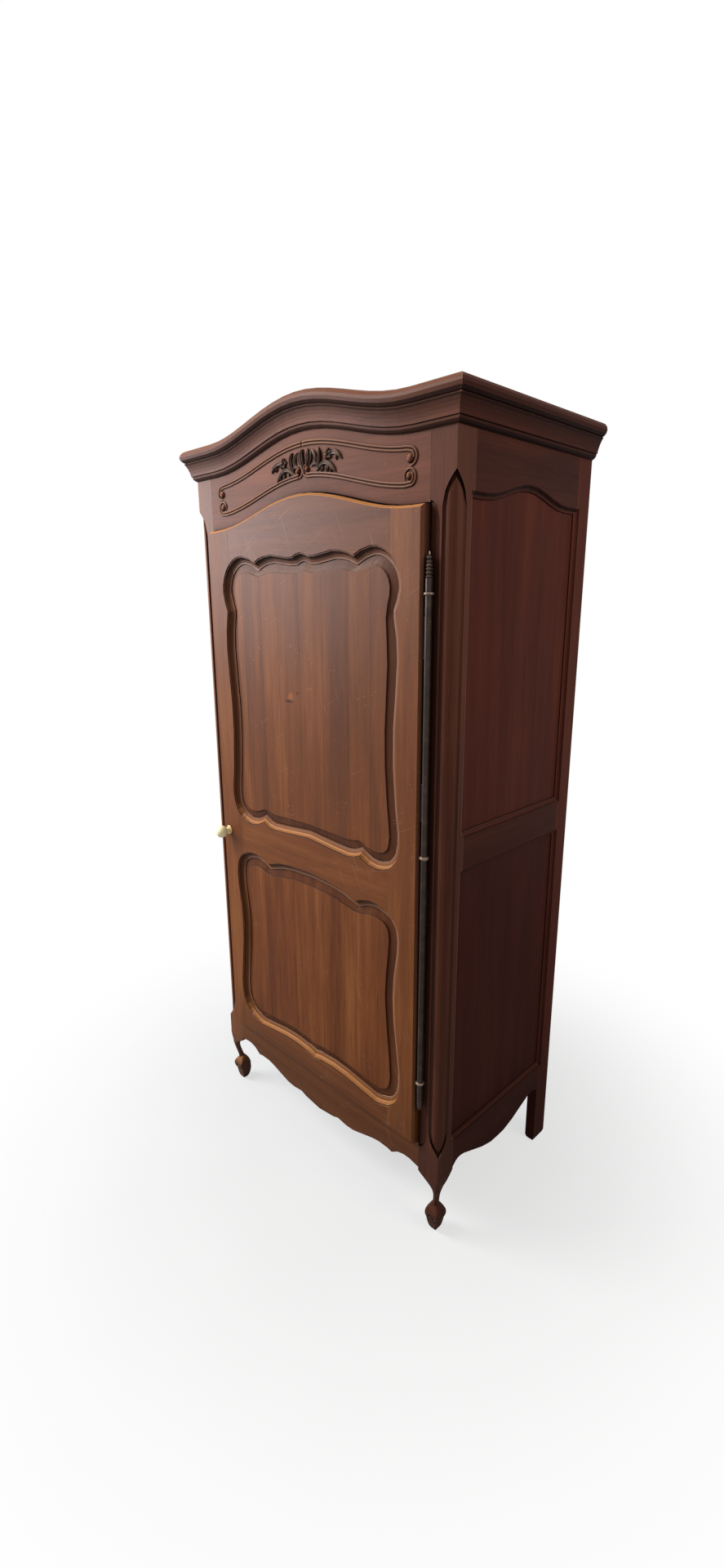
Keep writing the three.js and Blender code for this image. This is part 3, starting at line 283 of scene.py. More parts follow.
# %% [markdown]
# ## What age does to it, with painted light and shade
# Where wood meets wood the colour is painted darker, for shade and for old wax in the tightest corners, and a
# broad painted shade lies under overhangs. Hands wear the wax off edges, which shows as lighter, smoother
# rims;
# edges that face up or towards the window at the left get a painted highlight too. An ambient occlusion node
# measures both: outwards it finds corners, inwards it finds edges. Ledges that face up are painted in a lit
# tone, so a moulding under a panel is golden; the one over it, what faces down and whatever faces away from
# the window at the left are painted dark for shade. The painted light on a ledge is laid in thin lines, each
# at one depth from the face, so they run along the moulding.

# %% Corners, edges and ledges
hollow_reach, corner_reach, crevice_reach, edge_reach = 0.070, 0.020, 0.005, 0.0035
line_step = 0.0014
darkest_height, undarkened_height = 0.12, 0.46


def nearness(finish, reach, low, high, inside=False):
    """0 on open wood, more where other wood is near; from inside the wood, more near its edges."""
    openness = finish.node("ShaderNodeAmbientOcclusion", {"samples": 8, "inside": inside}, {"Distance": reach},
                           "AO")
    return 1 - openness.between(low, high)


def near_floor(finish):
    """1 at the floor, 0 from knee height up, for a colour darker towards the floor."""
    return 1 - part_of(finish, here(finish), "z").between(darkest_height, undarkened_height)


def aged_and_lit(finish, toned, board, grime_and_shade, wear_and_glint, ledge_light_and_shade, edge_share, shade_share, hollow_share):
    """Paints shade and wax, worn and lit rims, and lit ledges over a colour; gives it, corners and rubbed
    rims.
    """
    # Painted shade: darker wherever other wood is near, broadly within 70 mm, more tightly in corners and
    # crevices.
    hollow = nearness(finish, hollow_reach, 0.3, 1.0)
    corner = nearness(finish, corner_reach, 0.3, 0.95)
    crevice = nearness(finish, crevice_reach, 0.35, 0.9)
    edge = nearness(finish, edge_reach, 0.1, 0.75, inside=True)
    rubbed = edge * noise(finish, board, 16.0, 3.0).between(0.36, 0.62)
    # Painted light on faces that point up, painted shade on faces that point down or away from the window.
    up, away = facing(finish, "z"), facing(finish, "x")
    lifted = up.between(0.12, 0.7) * (1 - up.between(0.97, 1.0))
    under = (0 - up).between(0.1, 0.7)
    # The painted ledge light runs in thin lines, one for each depth from the face.
    stripe = part_of(finish, here(finish), "y").back_and_forth(line_step) / line_step
    ledges_lit = blend(finish, lifted * (stripe * 0.75 + 0.2), toned, ledge_light_and_shade)
    # Painted shade, with old wax in the corners, and a darkening towards the floor.
    wax_and_shade = (corner * 0.48).most(hollow * hollow_share).most(near_floor(finish) * 0.4)
    waxed_and_shaded = blend(finish, wax_and_shade, ledges_lit, grime_and_shade)
    # More painted shade: in crevices, on faces that point down, on faces turned from the window.
    dim = (crevice * 0.9).most(under * 0.8).most(away.between(0.15, 0.9) * shade_share)
    shaded = blend(finish, dim, waxed_and_shaded, grime_and_shade)
    # Rims: rubbed wear, with a painted highlight on edges that face the window or face up.
    toward = (0 - away).between(0.15, 0.7)
    rim_wear_and_glint = (rubbed * (edge_share * 0.4)).most(edge * toward.most(lifted) * (edge_share * 1.7))
    return blend(finish, rim_wear_and_glint, shaded, wear_and_glint), corner, rubbed


# The corner darkening printed here is painted shade together with old wax.
print("wax gathers within", corner_reach * 1000, "mm of a corner; a ledge's lines are every",
      2 * line_step * 1000, "mm of depth")

# %% [markdown]
# Boards that are glued side by side show a fine seam and a small change of tone from one to the next. Use
# leaves its own marks: pale specks where the wax is chipped, and hair-thin scratches across the grain. A knot
# is where a branch left the trunk: amber wood with a dark hook under it. Its place is written in metres and
# its outline bent by a noise.

# %% Glued boards, specks, scratches and knots
seam_step, seam_core, seam_edge = 0.0012, 0.0003, 0.0016


def glued(finish, seams):
    """A tone for each board, and the thin dark seams between them, at places x in metres."""
    x = part_of(finish, here(finish), "x")
    tone, line = 0.0, 0.0
    for i, seam in enumerate(seams):
        past = x - seam
        tone = past.between(-seam_step, seam_step) * (0.05 if i % 2 else -0.05) + tone
        near = 1 - past.size().between(seam_core, seam_edge)
        line = near.most(line) if i else near
    return tone, line


def specks(finish):
    place = here(finish)
    spot = finish.node("ShaderNodeTexVoronoi", values={"Vector": place, "Scale": 95.0}, out="Distance")
    return (1 - spot.between(0.04, 0.12)) * noise(finish, place, 11.0, 2.0).between(0.55, 0.68)


def scratches(finish, slant):
    """Hair-thin lines that slant away from the grain, in a few places only."""
    place = here(finish)
    slanted = finish.node("ShaderNodeVectorRotate", {"rotation_type": "Y_AXIS"},
                          {"Vector": place, "Angle": slant})
    line = noise(finish, stretched(finish, slanted, (1.0, 1.0, 0.02)), 420.0, 0.0).between(0.76, 0.82)
    return line * noise(finish, place, 6.0, 2.0).between(0.52, 0.66)


def knot(finish, centre, reach):
    """1 in the middle of an oval about a centre (x, z), fading to 0 at its reach each way."""
    place = here(finish)
    bent = noise(finish, place, 60.0, 2.0)
    x, z = part_of(finish, place, "x") - centre[0], part_of(finish, place, "z") - centre[1]
    far = ((x / reach[0]) ** 2 + (z / reach[1]) ** 2) ** 0.5 + (bent - 0.5) * 0.9
    return 1 - far.between(0.35, 1.0)


print("a seam is", 2 * seam_edge * 1000, "mm wide with its soft edges")

# %% [markdown]
# A board's finish is laid in the order in which it came about: the figure of the wood first, then its pores,
# a painted cool sheen that lightens the upper part of the front, knots and seams, the wax and the wear of age
# with their painted light and shade, and the marks of use last. One function for all the woods keeps them
# alike; only their tones and shares differ.

# %% The whole finish of a board
pore_tint = (0.42, 0.38, 0.36)
sheen_heights = (0.3, 1.75)
board_rounding = 0.0014


def wood(name, along, dark, middle, light, grime_and_shade, wear_and_glint, ledge_light_and_shade, gloss=0.4, shine=0.2, figure=1.0,
         edge_share=0.5, shade_share=0.0, hollow_share=0.6, seams=(), knots=(), marks=0.0, top_sheen=None,
         bevel_shade=None):
    """A waxed wood whose grain runs along an axis: three tones, painted shade and wax in its corners, rubbed
    rims with painted highlights, painted light and shade on its ledges, and painted shade on a bevel round the
    front."""
    finish = Finish(name, Specular_IOR_Level=shine)
    board = drawn_out(finish, along, band_stretch)
    cloud, band, streak, fibre, pore = grain(finish, along, board)
    figured = cloud * 0.34 + band * 0.32 + streak * 0.20 + fibre * 0.14
    if seams:
        tone, line = glued(finish, seams)
        figured = figured + tone * 0.6
    toned = ramp(finish, (figured - 0.5) * figure + 0.5, (0.36, dark), (0.5, middle), (0.63, light))
    toned = blend(finish, pore * 0.35, toned, pore_tint, "MULTIPLY")
    # Painted sheen: the front grows lighter and bluer towards the top, for the window's cool reflection.
    if top_sheen:
        toned = blend(finish, part_of(finish, here(finish), "z").between(*sheen_heights), toned, top_sheen, "ADD")
    for centre, reach, shade, share in knots:
        toned = blend(finish, knot(finish, centre, reach) * share, toned, shade)
    if seams:
        toned = blend(finish, line * 0.45, toned, grime_and_shade)
    # Painted shade on faces tilted away from the front, such as the bevel round a raised panel.
    if bevel_shade:
        tilted = (facing(finish, "y") + 1).between(0.004, 0.02)
        toned = blend(finish, tilted * 0.42, toned, bevel_shade)
    worn_and_shaded, corner, rubbed = aged_and_lit(finish, toned, board, grime_and_shade, wear_and_glint, ledge_light_and_shade, edge_share, shade_share,
                                hollow_share)
    if marks:
        scarred = (specks(finish) * 0.7).most(scratches(finish, 0.45) * 0.22)
        worn_and_shaded = blend(finish, scarred.most(scratches(finish, -1.1) * 0.16) * marks, worn_and_shaded, wear_and_glint)
    height = band * 0.4 + streak * 0.3 + fibre * 0.1 - pore * 0.5
    rough = corner * 0.25 + cloud * 0.16 - rubbed * 0.12 + (gloss - 0.08)
    return finish.paint(Base_Color=worn_and_shaded, Roughness=rough,
                        Normal=relief(finish, height, 0.22, 0.0006, board_rounding))


print("edges of wood are rounded to", board_rounding * 1000, "mm")

# %% [markdown]
# The front is one walnut, cut two ways. The two panels of the door get finishes of their own: the seams of
# their glued boards lie at other places, the lower one's ledges are painted dark for the shade under its
# moulding, with less shine, and the upper one has a knot a little left of its middle. The frieze is a redder
# board, painted darker where the cornice shades it.

# %% Walnut of the front
# Darkest tone: painted shade and wax; palest: wear and painted highlight; ledge tone: painted light on
# up-faces.
front_tones = dict(dark=colour(84, 43, 15), middle=colour(104, 56, 21), light=colour(123, 72, 33),
                   grime_and_shade=colour(26, 11, 8), wear_and_glint=colour(220, 182, 158), ledge_light_and_shade=colour(194, 130, 70),
                   gloss=0.47, shine=0.11, shade_share=0.28, top_sheen=(0.012, 0.013, 0.0155))
# The frieze takes more painted shade where the cornice overhangs it.
frieze_tones = dict(front_tones, dark=colour(82, 42, 25), middle=colour(103, 57, 37),
                    light=colour(122, 70, 47), shine=0.08, top_sheen=None, hollow_share=0.9)
# The panels' dark bevel tone is painted shade between moulding and field.
panel_tones = dict(front_tones, figure=1.15, edge_share=0.16, bevel_shade=colour(54, 27, 20))
# The upper panel's pale ledge tone is painted light from the window.
upper_tones = dict(panel_tones, ledge_light_and_shade=colour(172, 138, 112), marks=1.0)
# The lower panel's dark ledge tone is painted shade under its moulding.
lower_tones = dict(panel_tones, dark=colour(86, 43, 19), middle=colour(109, 60, 27), light=colour(130, 79, 42),
                   ledge_light_and_shade=colour(64, 38, 28), shine=0.07, marks=0.6)
upper_seams = (-0.235, -0.165, -0.100, -0.020, 0.060, 0.145, 0.215)
lower_seams = (-0.190, -0.070, 0.040, 0.165)
amber, hook = colour(154, 92, 50), colour(44, 20, 14)
upper_knots = [((-0.058, 1.277), (0.014, 0.015), amber, 0.5), ((-0.062, 1.2665), (0.022, 0.0055), hook, 0.8),
               ((-0.031, 1.288), (0.006, 0.005), hook, 0.6), ((0.012, 1.302), (0.016, 0.003), amber, 0.4)]

upright = wood("front walnut, upright", "z", marks=0.5, **front_tones)
level = wood("front walnut, level", "x", marks=0.7, **front_tones)
frieze_board = wood("frieze walnut", "x", marks=0.4, **frieze_tones)
upper_panel = wood("front walnut, upper panel", "z", seams=upper_seams, knots=upper_knots, **upper_tones)
lower_panel = wood("front walnut, lower panel", "z", seams=lower_seams, **lower_tones)
print("boards in the panels:", len(upper_seams) + 1, "and", len(lower_seams) + 1)

# %% [markdown]
# The cornice is a shade darker than the door, and the corner post by the hinge is painted darker again, for
# the door's shadow on it and the shade on its side; the foot of the other front post is nearly black, which a
# broad, soft knot paints. The sides were stained black-red, are painted darker still for the shade they stand
# in, the lower panel and the rails more, and get less polish. Inside, the wood is planed and bare.

# %% Darker wood of the cornice, shaded wood of the corner and the sides, and plain wood inside
cornice_tones = dict(front_tones, dark=colour(72, 37, 23), middle=colour(88, 47, 29),
                     light=colour(104, 59, 38), ledge_light_and_shade=colour(120, 72, 46), shine=0.1, edge_share=0.2,
                     top_sheen=None)
# The corner post's tones are painted shade: the same walnut, darker, and darker still on its side.
shaded_corner_tones = dict(front_tones, dark=colour(66, 36, 26), middle=colour(84, 47, 34), light=colour(98, 57, 42),
                    ledge_light_and_shade=colour(92, 55, 36), shine=0.06, edge_share=0.14, shade_share=0.4, top_sheen=None)
dark_foot = [((-0.400, 0.030), (0.110, 0.170), colour(30, 14, 9), 0.75)]
# The side tones are a black-red stain with painted shade; the lower panel and the rails are darker again.
side_tones = dict(dark=colour(54, 22, 15), middle=colour(65, 29, 21), light=colour(76, 38, 27),
                  grime_and_shade=colour(14, 5, 4), wear_and_glint=colour(132, 84, 68), ledge_light_and_shade=colour(78, 40, 29), gloss=0.55,
                  shine=0.04, edge_share=0.4)
side_low_tones = dict(side_tones, dark=colour(40, 15, 11), middle=colour(49, 20, 15),
                      light=colour(58, 26, 20))
side_level_tones = dict(side_tones, dark=colour(42, 18, 13), middle=colour(51, 24, 17),
                        light=colour(62, 31, 22))
inside_tones = dict(dark=colour(120, 88, 58), middle=colour(150, 114, 78), light=colour(176, 140, 100),
                    grime_and_shade=colour(56, 38, 26), wear_and_glint=colour(190, 158, 120), ledge_light_and_shade=colour(160, 126, 90),
                    gloss=0.62)

cornice = wood("cornice walnut", "x", **cornice_tones)
shaded_corner_upright = wood("shaded corner walnut, upright", "z", **shaded_corner_tones)
# On the left post the painted shade is a lighter brown.
left_upright = wood("left corner walnut", "z", knots=dark_foot, **dict(front_tones, grime_and_shade=colour(96, 60, 47)))
side_upright = wood("side wood, upright", "z", **side_tones)
side_low = wood("side wood, lower panel", "z", **side_low_tones)
side_level = wood("side wood, level", "y", marks=0.8, **side_level_tones)
inside_level = wood("inside wood, level", "x", **inside_tones)
inside_deep = wood("inside wood, deep", "y", **inside_tones)
inside_upright = wood("inside wood, upright", "z", **inside_tones)
print("materials, with the packed ones:", len(bpy.data.materials))

# %% [markdown]
# ## Darkened brass
# The long hinge is brass that has gone dark brown, nearly black in its grooves with oxide and painted shade,
# with brighter rims that are rubbed and carry a painted highlight. It reads as metal by its gleam and not by
# its colour, so it is only partly metallic. Its collars are touched more often, so the same finish with more
# rubbing serves for them.

# %% Brass of the hinge
# Pale for rubbed rims with a painted highlight, near black for oxide and painted shade in grooves.
brass_rub_and_glint, brass_oxide_and_shade = colour(186, 160, 138), colour(14, 9, 8)


def dark_brass(name, rim_share=0.85, rubbing=0.0):
    """Old brass, darker in its grooves with oxide and painted shade, lighter on rubbed and lit rims, rubbed
    all over.
    """
    finish = Finish(name, Metallic=0.4, Specular_IOR_Level=0.3)
    place = here(finish)
    mottled = noise(finish, place, 45.0, 4.0, 0.6)
    pitted = noise(finish, place, 300.0, 2.0)
    edge = nearness(finish, 0.003, 0.1, 0.8, inside=True)
    corner = nearness(finish, 0.010, 0.2, 0.9).most(nearness(finish, 0.003, 0.3, 0.9))
    toned = ramp(finish, mottled, (0.3, colour(36, 27, 23)), (0.55, colour(50, 38, 32)),
                 (0.75, colour(68, 53, 44)))
    rubbed = blend(finish, (edge * rim_share).most(mottled * rubbing), toned, brass_rub_and_glint)
    return finish.paint(Base_Color=blend(finish, corner * 0.85, rubbed, brass_oxide_and_shade),
                        Roughness=mottled * 0.2 + corner * 0.2 + 0.26,
                        Normal=relief(finish, pitted, 0.2, 0.0003, rounding=0.0005))


hinge_brass = dark_brass("hinge brass")
rubbed_brass = dark_brass("rubbed brass", 0.4, 0.5)
print("brass:", hinge_brass.name, "and", rubbed_brass.name)

# %% [markdown]
# ## Cream knob and its rose
# The knob is a turned ball in a cream colour with a thin hard gloss, painted browner where it meets its rose,
# for the shade in that corner. The rose is a small disc of pale, aged brass, painted darker near the knob.
# Both have a soft mottle from one noise, which also changes the gloss a little.

# %% Finishes of the knob and of its rose
def cream():
    finish = Finish("cream knob", Specular_IOR_Level=0.4, Coat_Roughness=0.15)
    mottled = noise(finish, here(finish), 24.0, 1.0)
    toned = ramp(finish, mottled, (0.3, colour(232, 217, 165)), (0.6, colour(241, 230, 182)))
    # Painted shade where the ball meets its rose.
    shaded_near_rose = blend(finish, nearness(finish, 0.006, 0.3, 0.95) * 0.3, toned, colour(150, 118, 74))
    return finish.paint(Base_Color=shaded_near_rose, Roughness=mottled * 0.12 + 0.34, Coat_Weight=mottled * 0.1 + 0.05,
                        Normal=relief(finish, mottled, 0.05, 0.0001))


def aged_brass():
    finish = Finish("rose brass", Metallic=0.3)
    mottled = noise(finish, here(finish), 120.0, 3.0, 0.6)
    toned = ramp(finish, mottled, (0.35, colour(178, 152, 102)), (0.65, colour(216, 194, 142)))
    # Painted darker near the knob.
    darker_near_knob = blend(finish, nearness(finish, 0.006, 0.3, 0.95) * 0.5, toned, colour(92, 66, 40))
    return finish.paint(Base_Color=darker_near_knob, Roughness=mottled * 0.3 + 0.33,
                        Normal=relief(finish, mottled, 0.1, 0.0002))


knob_cream, rose_brass = cream(), aged_brass()
print("knob:", knob_cream.name, "on", rose_brass.name)

# %% [markdown]
# ## Which solid wears which finish
# The solids carry the name of their wood. The direction of the grain comes from the piece: posts, stiles and
# panels are cut along their height, rails and shelves along their length.

# %% Dress every solid
def finish_for(name, slot_name):
    if name == "knob_rose":
        return rose_brass
    if slot_name == "dark_metal":
        return hinge_brass
    if slot_name == "cream_knob":
        return knob_cream
    if slot_name == "walnut_panel":
        return upper_panel if "upper" in name else lower_panel
    if "side_lower_panel" in name:
        return side_low
    if slot_name == "side_wood":
        return side_upright if "panel" in name or "post" in name else side_level
    if slot_name == "inner_wood":
        if "cleat" in name:
            return inside_deep
        return inside_upright if "panel" in name or "post" in name else inside_level
    if "cornice" in name:
        return cornice if "front" in name else side_level
    if name == "frieze_rail":
        return frieze_board
    if name == "front_post_right":
        return shaded_corner_upright
    if name == "front_post_left":
        return left_upright
    return upright if "post" in name or "stile" in name else level


for name, solid in sorted(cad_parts.items()):
    for worn_slot in solid.material_slots:
        worn_slot.material = finish_for(name, worn_slot.material.name.split(".")[0])
print("dressed:", len(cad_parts))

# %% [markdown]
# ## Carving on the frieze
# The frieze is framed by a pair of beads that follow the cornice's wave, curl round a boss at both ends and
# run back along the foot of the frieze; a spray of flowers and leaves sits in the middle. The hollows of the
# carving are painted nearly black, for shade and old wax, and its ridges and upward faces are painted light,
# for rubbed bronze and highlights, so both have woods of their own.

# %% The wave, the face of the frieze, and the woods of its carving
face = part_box("frieze_rail")[0].y
wave_rise, wave_reach = 0.054, 0.330


def wave(x):
    return wave_rise * (1 + math.cos(math.pi * min(abs(x) / wave_reach, 1))) / 2


# The carving's ledge and pale tones are painted light on ridges and up-faces; its hollows get painted shade.
spray_tones = dict(front_tones, dark=colour(62, 38, 27), middle=colour(78, 50, 36), light=colour(94, 62, 44),
                   wear_and_glint=colour(168, 128, 94), ledge_light_and_shade=colour(150, 110, 68), gloss=0.38, shine=0.14,
                   edge_share=0.3, top_sheen=None)
bead_tones = dict(front_tones, middle=colour(104, 58, 36), edge_share=0.08, shine=0.1,
                  ledge_light_and_shade=colour(166, 112, 62), top_sheen=None)
carving = wood("carved walnut", "z", **spray_tones)
beading = wood("frieze beads", "x", **bead_tones)
print("frieze face at", round(face, 4))

# %% [markdown]
# ### Sweeping a section
# Such relief is swept: a rounded cross-section is carried along a line drawn on the wood, and it narrows where
# the carver ran out. The section's points are shares of the width and of the height, so that one section
# serves every leaf. Each strip is closed and starts a little under the face, so no gap shows at its foot.

# %% A section carried along a line on the frieze
bead_section = [(-1.0, 0.0), (-0.82, 0.58), (-0.45, 0.9), (0.0, 1.0), (0.45, 0.9), (0.82, 0.58), (1.0, 0.0)]
leaf_section = [(-1.0, 0.0), (-0.9, 0.62), (-0.58, 1.0), (-0.22, 0.72), (0.05, 0.5), (0.3, 0.62),
                (0.62, 0.85), (0.9, 0.5), (1.0, 0.0)]
sunk = 0.0006


def swept(line, widths, heights, section):
    """A closed strip along points (x, z), with a width and a height at each: its vertices and faces."""
    count, row = len(line), len(section)
    vertices, faces = [], []
    for i, (x, z) in enumerate(line):
        before, after = line[max(i - 1, 0)], line[min(i + 1, count - 1)]
        way = Vector((after[0] - before[0], after[1] - before[1])).normalized()
        for across, rise in section:
            reach = across * widths[i] / 2
            vertices.append((x - way.y * reach, face + sunk - rise * heights[i], z + way.x * reach))
    for i in range(count - 1):
        low, high = i * row, (i + 1) * row
        faces += [(low + k, high + k, high + k + 1, low + k + 1) for k in range(row - 1)]
        faces.append((low, low + row - 1, high + row - 1, high))
    faces += [tuple(range(row)), tuple(reversed(range((count - 1) * row, count * row)))]
    return vertices, faces


print("points across a bead:", len(bead_section), "and across a leaf:", len(leaf_section))

# %% [markdown]
# A boss, and the heart of a flower, is a small dome. A line through a few written points is made smooth by a
# curve that passes through each of them; the points may carry a width as well, which is then smooth too.

# %% Domes, and a curve through points
def dome(centre, radius, height, rings=5, around=18):
    vertices, faces = [(centre[0], face - height, centre[1])], []
    for ring in range(1, rings + 1):
        slope = math.pi / 2 * ring / rings
        for k in range(around):
            angle = 2 * math.pi * k / around
            vertices.append((centre[0] + radius * math.sin(slope) * math.cos(angle),
                             face + sunk - (height + sunk) * math.cos(slope),
                             centre[1] + radius * math.sin(slope) * math.sin(angle)))
    for k in range(around):
        after = (k + 1) % around
        faces.append((0, 1 + k, 1 + after))
        for ring in range(rings - 1):
            low, high = 1 + ring * around, 1 + (ring + 1) * around
            faces.append((low + k, high + k, high + after, low + after))
    faces.append(tuple(reversed(range(1 + (rings - 1) * around, 1 + rings * around))))
    return vertices, faces


def through(points, steps=6):
    """Points along a smooth curve through the given ones, with whatever numbers they carry."""
    padded = [Vector(p) for p in (points[0], *points, points[-1])]
    places = []
    for i in range(1, len(padded) - 2):
        a, b, c, d = padded[i - 1:i + 3]
        for step in range(steps):
            t = step / steps
            places.append(0.5 * (2 * b + (c - a) * t + (2 * a - 5 * b + 4 * c - d) * t * t
                                 + (3 * b - a - 3 * c + d) * t ** 3))
    return places + [padded[-2]]


print("a curve through 3 points has", len(through([(0, 0), (1, 1), (2, 0)])), "places")

# %% [markdown]
# Many small strips make one carving. They are joined into one mesh, which rides on the cabinet and takes the
# walnut finish it is given. Only what faces the viewer is shaded smooth, so the flat backs and ends stay
# crisp.

# %% A new piece, and a carving of many strips
def new_piece(name, vertices, faces):
    """An object of these points and faces, in the scene."""
    mesh = bpy.data.meshes.new(name)
    mesh.from_pydata(vertices, [], faces)
    piece = bpy.data.objects.new(name, mesh)
    bpy.context.scene.collection.objects.link(piece)
    return piece


def carved(name, strips, finish):
    vertices, faces = [], []
    for strip_vertices, strip_faces in strips:
        base = len(vertices)
        vertices += strip_vertices
        faces += [tuple(base + corner for corner in corners) for corners in strip_faces]
    piece = new_piece(name, vertices, faces)
    piece.data.validate()
    for polygon in piece.data.polygons:
        polygon.use_smooth = polygon.normal.y < -0.02
    piece.data.materials.append(finish)
    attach(piece, "cabinet")
    print(name, len(piece.data.polygons), "faces")


# %% [markdown]
# ### The beaded frame
# Each bead is one swept line: along the wave, then round the boss at the end. Two of them run side by side, at
# the top and at the foot of the frieze. At the middle of the foot the outer one turns up into a small curl.
# Half of the frame is worked out, and the other half is the same with x turned round.

# %% Lines of the beads
bead_pitch, bead_width, bead_height = 0.0063, 0.0061, 0.0032


def along_wave(height, x_from, x_to, steps=44):
    stops = [x_from + (x_to - x_from) * i / steps for i in range(steps + 1)]
    return [(x, height + wave(x)) for x in stops]


def curl(centre, radii, angles, steps=26):
    """A spiral about a centre, between two radii and two angles in turns."""
    line = []
    for i in range(1, steps + 1):
        share = i / steps
        radius = radii[0] + (radii[1] - radii[0]) * share
        angle = 2 * math.pi * (angles[0] + (angles[1] - angles[0]) * share)
        line.append((centre[0] + radius * math.cos(angle), centre[1] + radius * math.sin(angle)))
    return line


def bead(line, fade=5):
    """One bead along a line, thinning out over its last points."""
    count = len(line)
    shares = [min(1.0, (count - 1 - i + 0.3) / fade) ** 0.5 for i in range(count)]
    return swept(line, [bead_width * s for s in shares], [bead_height * s for s in shares], bead_section)


def mirrored(line, side):
    return [(side * x, z) for x, z in line]


print("a bead is", round(bead_width * 1000, 1), "mm wide and", round(bead_height * 1000, 1), "mm high")

# %% Beads and bosses
top_line, top_end, foot_line, foot_start, foot_end = 1.7825, 0.304, 1.7115, 0.012, 0.300
top_curl, foot_curl, curl_radius = (0.3135, 1.7640), (0.3115, 1.7300), 0.0175
bosses = [((0.3135, 1.7615), 0.0092, 0.0058), ((0.3112, 1.7310), 0.0078, 0.0054)]
inner_curl = [(0.012, 0.0), (0.004, 0.004), (0.0015, 0.013), (0.006, 0.022), (0.015, 0.0245), (0.0215, 0.020)]
inner_boss, inner_radius, inner_height = (0.0150, 0.0145), 0.0068, 0.0062

strips = []
for side in (-1, 1):
    for lane in (0, 1):
        inward = lane * bead_pitch
        top = along_wave(top_line - inward, 0.0, top_end)
        top += curl(top_curl, (curl_radius - inward, 0.0150 - inward), (0.22, -0.30 + lane * 0.22))
        foot = along_wave(foot_line + inward, foot_start, foot_end)
        foot += curl(foot_curl, (curl_radius - inward, 0.0115 - inward * 0.6), (-0.22, 0.62 - lane * 0.45))
        strips += [bead(mirrored(line, side)) for line in (top, foot)]
        if lane == 0:
            start = foot[0][1]
            inner_line = [tuple(p) for p in through([(x, start + rise) for x, rise in inner_curl])]
            strips.append(bead(mirrored(inner_line, side), fade=14))
            strips.append(dome((side * inner_boss[0], start + inner_boss[1]), inner_radius, inner_height))
    strips += [dome((side * x, z), radius, height) for (x, z), radius, height in bosses]
carved("frieze_beads", strips, beading)

# %% [markdown]
# ### The spray
# Half of it is written down and the other half mirrored: an outer leaf that droops, a flower of five petals,
# a low leaf with lobes under it, two upright blades and two leaves of the central fan. Every leaf is a line
# of points (x, z, width) in millimetres, and stands highest in its middle.

# %% A leaf and a flower
millimetre = 0.001
spray_middle = 8.0
thinnest = 0.4


def leaf(points, stand, side=1):
    """A swept leaf, standing out from the frieze by `stand` millimetres in its middle."""
    line = through([(spray_middle + side * x, z, width) for x, z, width in points], 5)
    count = len(line)
    rise = [stand * millimetre * max(math.sin(math.pi * (i + 0.4) / (count - 0.2)), 0.08) ** 0.55
            for i in range(count)]
    widths = [max(p.z, thinnest) * millimetre for p in line]
    section = leaf_section if side == 1 else [(-across, height) for across, height in reversed(leaf_section)]
    return swept([(p.x * millimetre, p.y * millimetre) for p in line], widths, rise, section)


def flower(x, z, side, petal=9.5, petals=5, start=0.07):
    """Petals round a heart at (x, z), each a leaf of its own."""
    reach = [(2.0, 3.0), (petal * 0.45, 7.2), (petal * 0.8, 8.4), (petal * 1.15, 5.2), (petal * 1.3, 0.8)]
    made = []
    for k in range(petals):
        angle = 2 * math.pi * (start + k / petals)
        way = (math.cos(angle), math.sin(angle))
        made.append(leaf([(x + way[0] * r, z + way[1] * r, width) for r, width in reach], 6.0, side))
    made.append(dome(((spray_middle + side * x) * millimetre, z * millimetre), 0.0036, 0.0074, 4, 12))
    return made


print("the spray's middle is", spray_middle, "mm right of the frieze's")

# %% The whole spray
outer_leaf = [(79, 1800, 3), (87, 1802, 8), (97, 1802, 11), (107, 1797, 9), (114, 1790, 5), (119, 1786, 1)]
outer_lobe = [(95, 1798, 3), (99, 1794, 6), (101, 1789, 4), (100, 1786, 1)]
low_leaf = [(32, 1772, 3), (43, 1777, 6), (55, 1784, 8), (67, 1786, 9), (79, 1782, 10), (89, 1774, 9),
            (96, 1767, 5), (99, 1763, 1)]
tall_blade = [(40, 1774, 4), (43, 1783, 8), (47, 1795, 10), (48, 1806, 8), (45, 1815, 5), (41, 1819, 1)]
curled_blade = [(30, 1782, 3), (33, 1791, 7), (35, 1800, 9), (31, 1809, 8), (25, 1815, 5), (21, 1817, 1)]
small_curl = [(20, 1783, 3), (27, 1788, 6), (34, 1789, 6), (39, 1785, 4), (40, 1781, 1)]
fan_leaf = [(4, 1784, 5), (7, 1792, 9), (10, 1802, 13), (11, 1811, 11), (9, 1818, 6), (6, 1822, 1)]
fan_side = [(9, 1786, 3), (16, 1794, 7), (20, 1803, 8), (20, 1811, 5), (18, 1816, 1)]
low_lobes = [[(56, 1782, 3), (57, 1776, 7), (54, 1771, 5), (51, 1769, 1)],
             [(70, 1783, 3), (73, 1776, 8), (71, 1770, 6), (67, 1767, 1)],
             [(82, 1778, 3), (85, 1772, 6), (84, 1767, 4), (82, 1765, 1)]]
spray = [(outer_leaf, 6.5), (outer_lobe, 4.5), (low_leaf, 7.0), (tall_blade, 7.0), (curled_blade, 5.5),
         (small_curl, 5.0), (fan_leaf, 7.5), (fan_side, 5.0)] + [(lobe, 5.0) for lobe in low_lobes]
flower_place = (75, 1801)

strips = []
for side in (-1, 1):
    strips += [leaf(points, stand, side) for points, stand in spray] + flower(*flower_place, side)
carved("frieze_spray", strips, carving)

# %% [markdown]
# ## The knob
# The packed knob has flat sides, which its hard gloss would show. A ball is turned anew round the same centre,
# with enough steps that no side is seen, and takes its place. Its neck ends inside the rose.

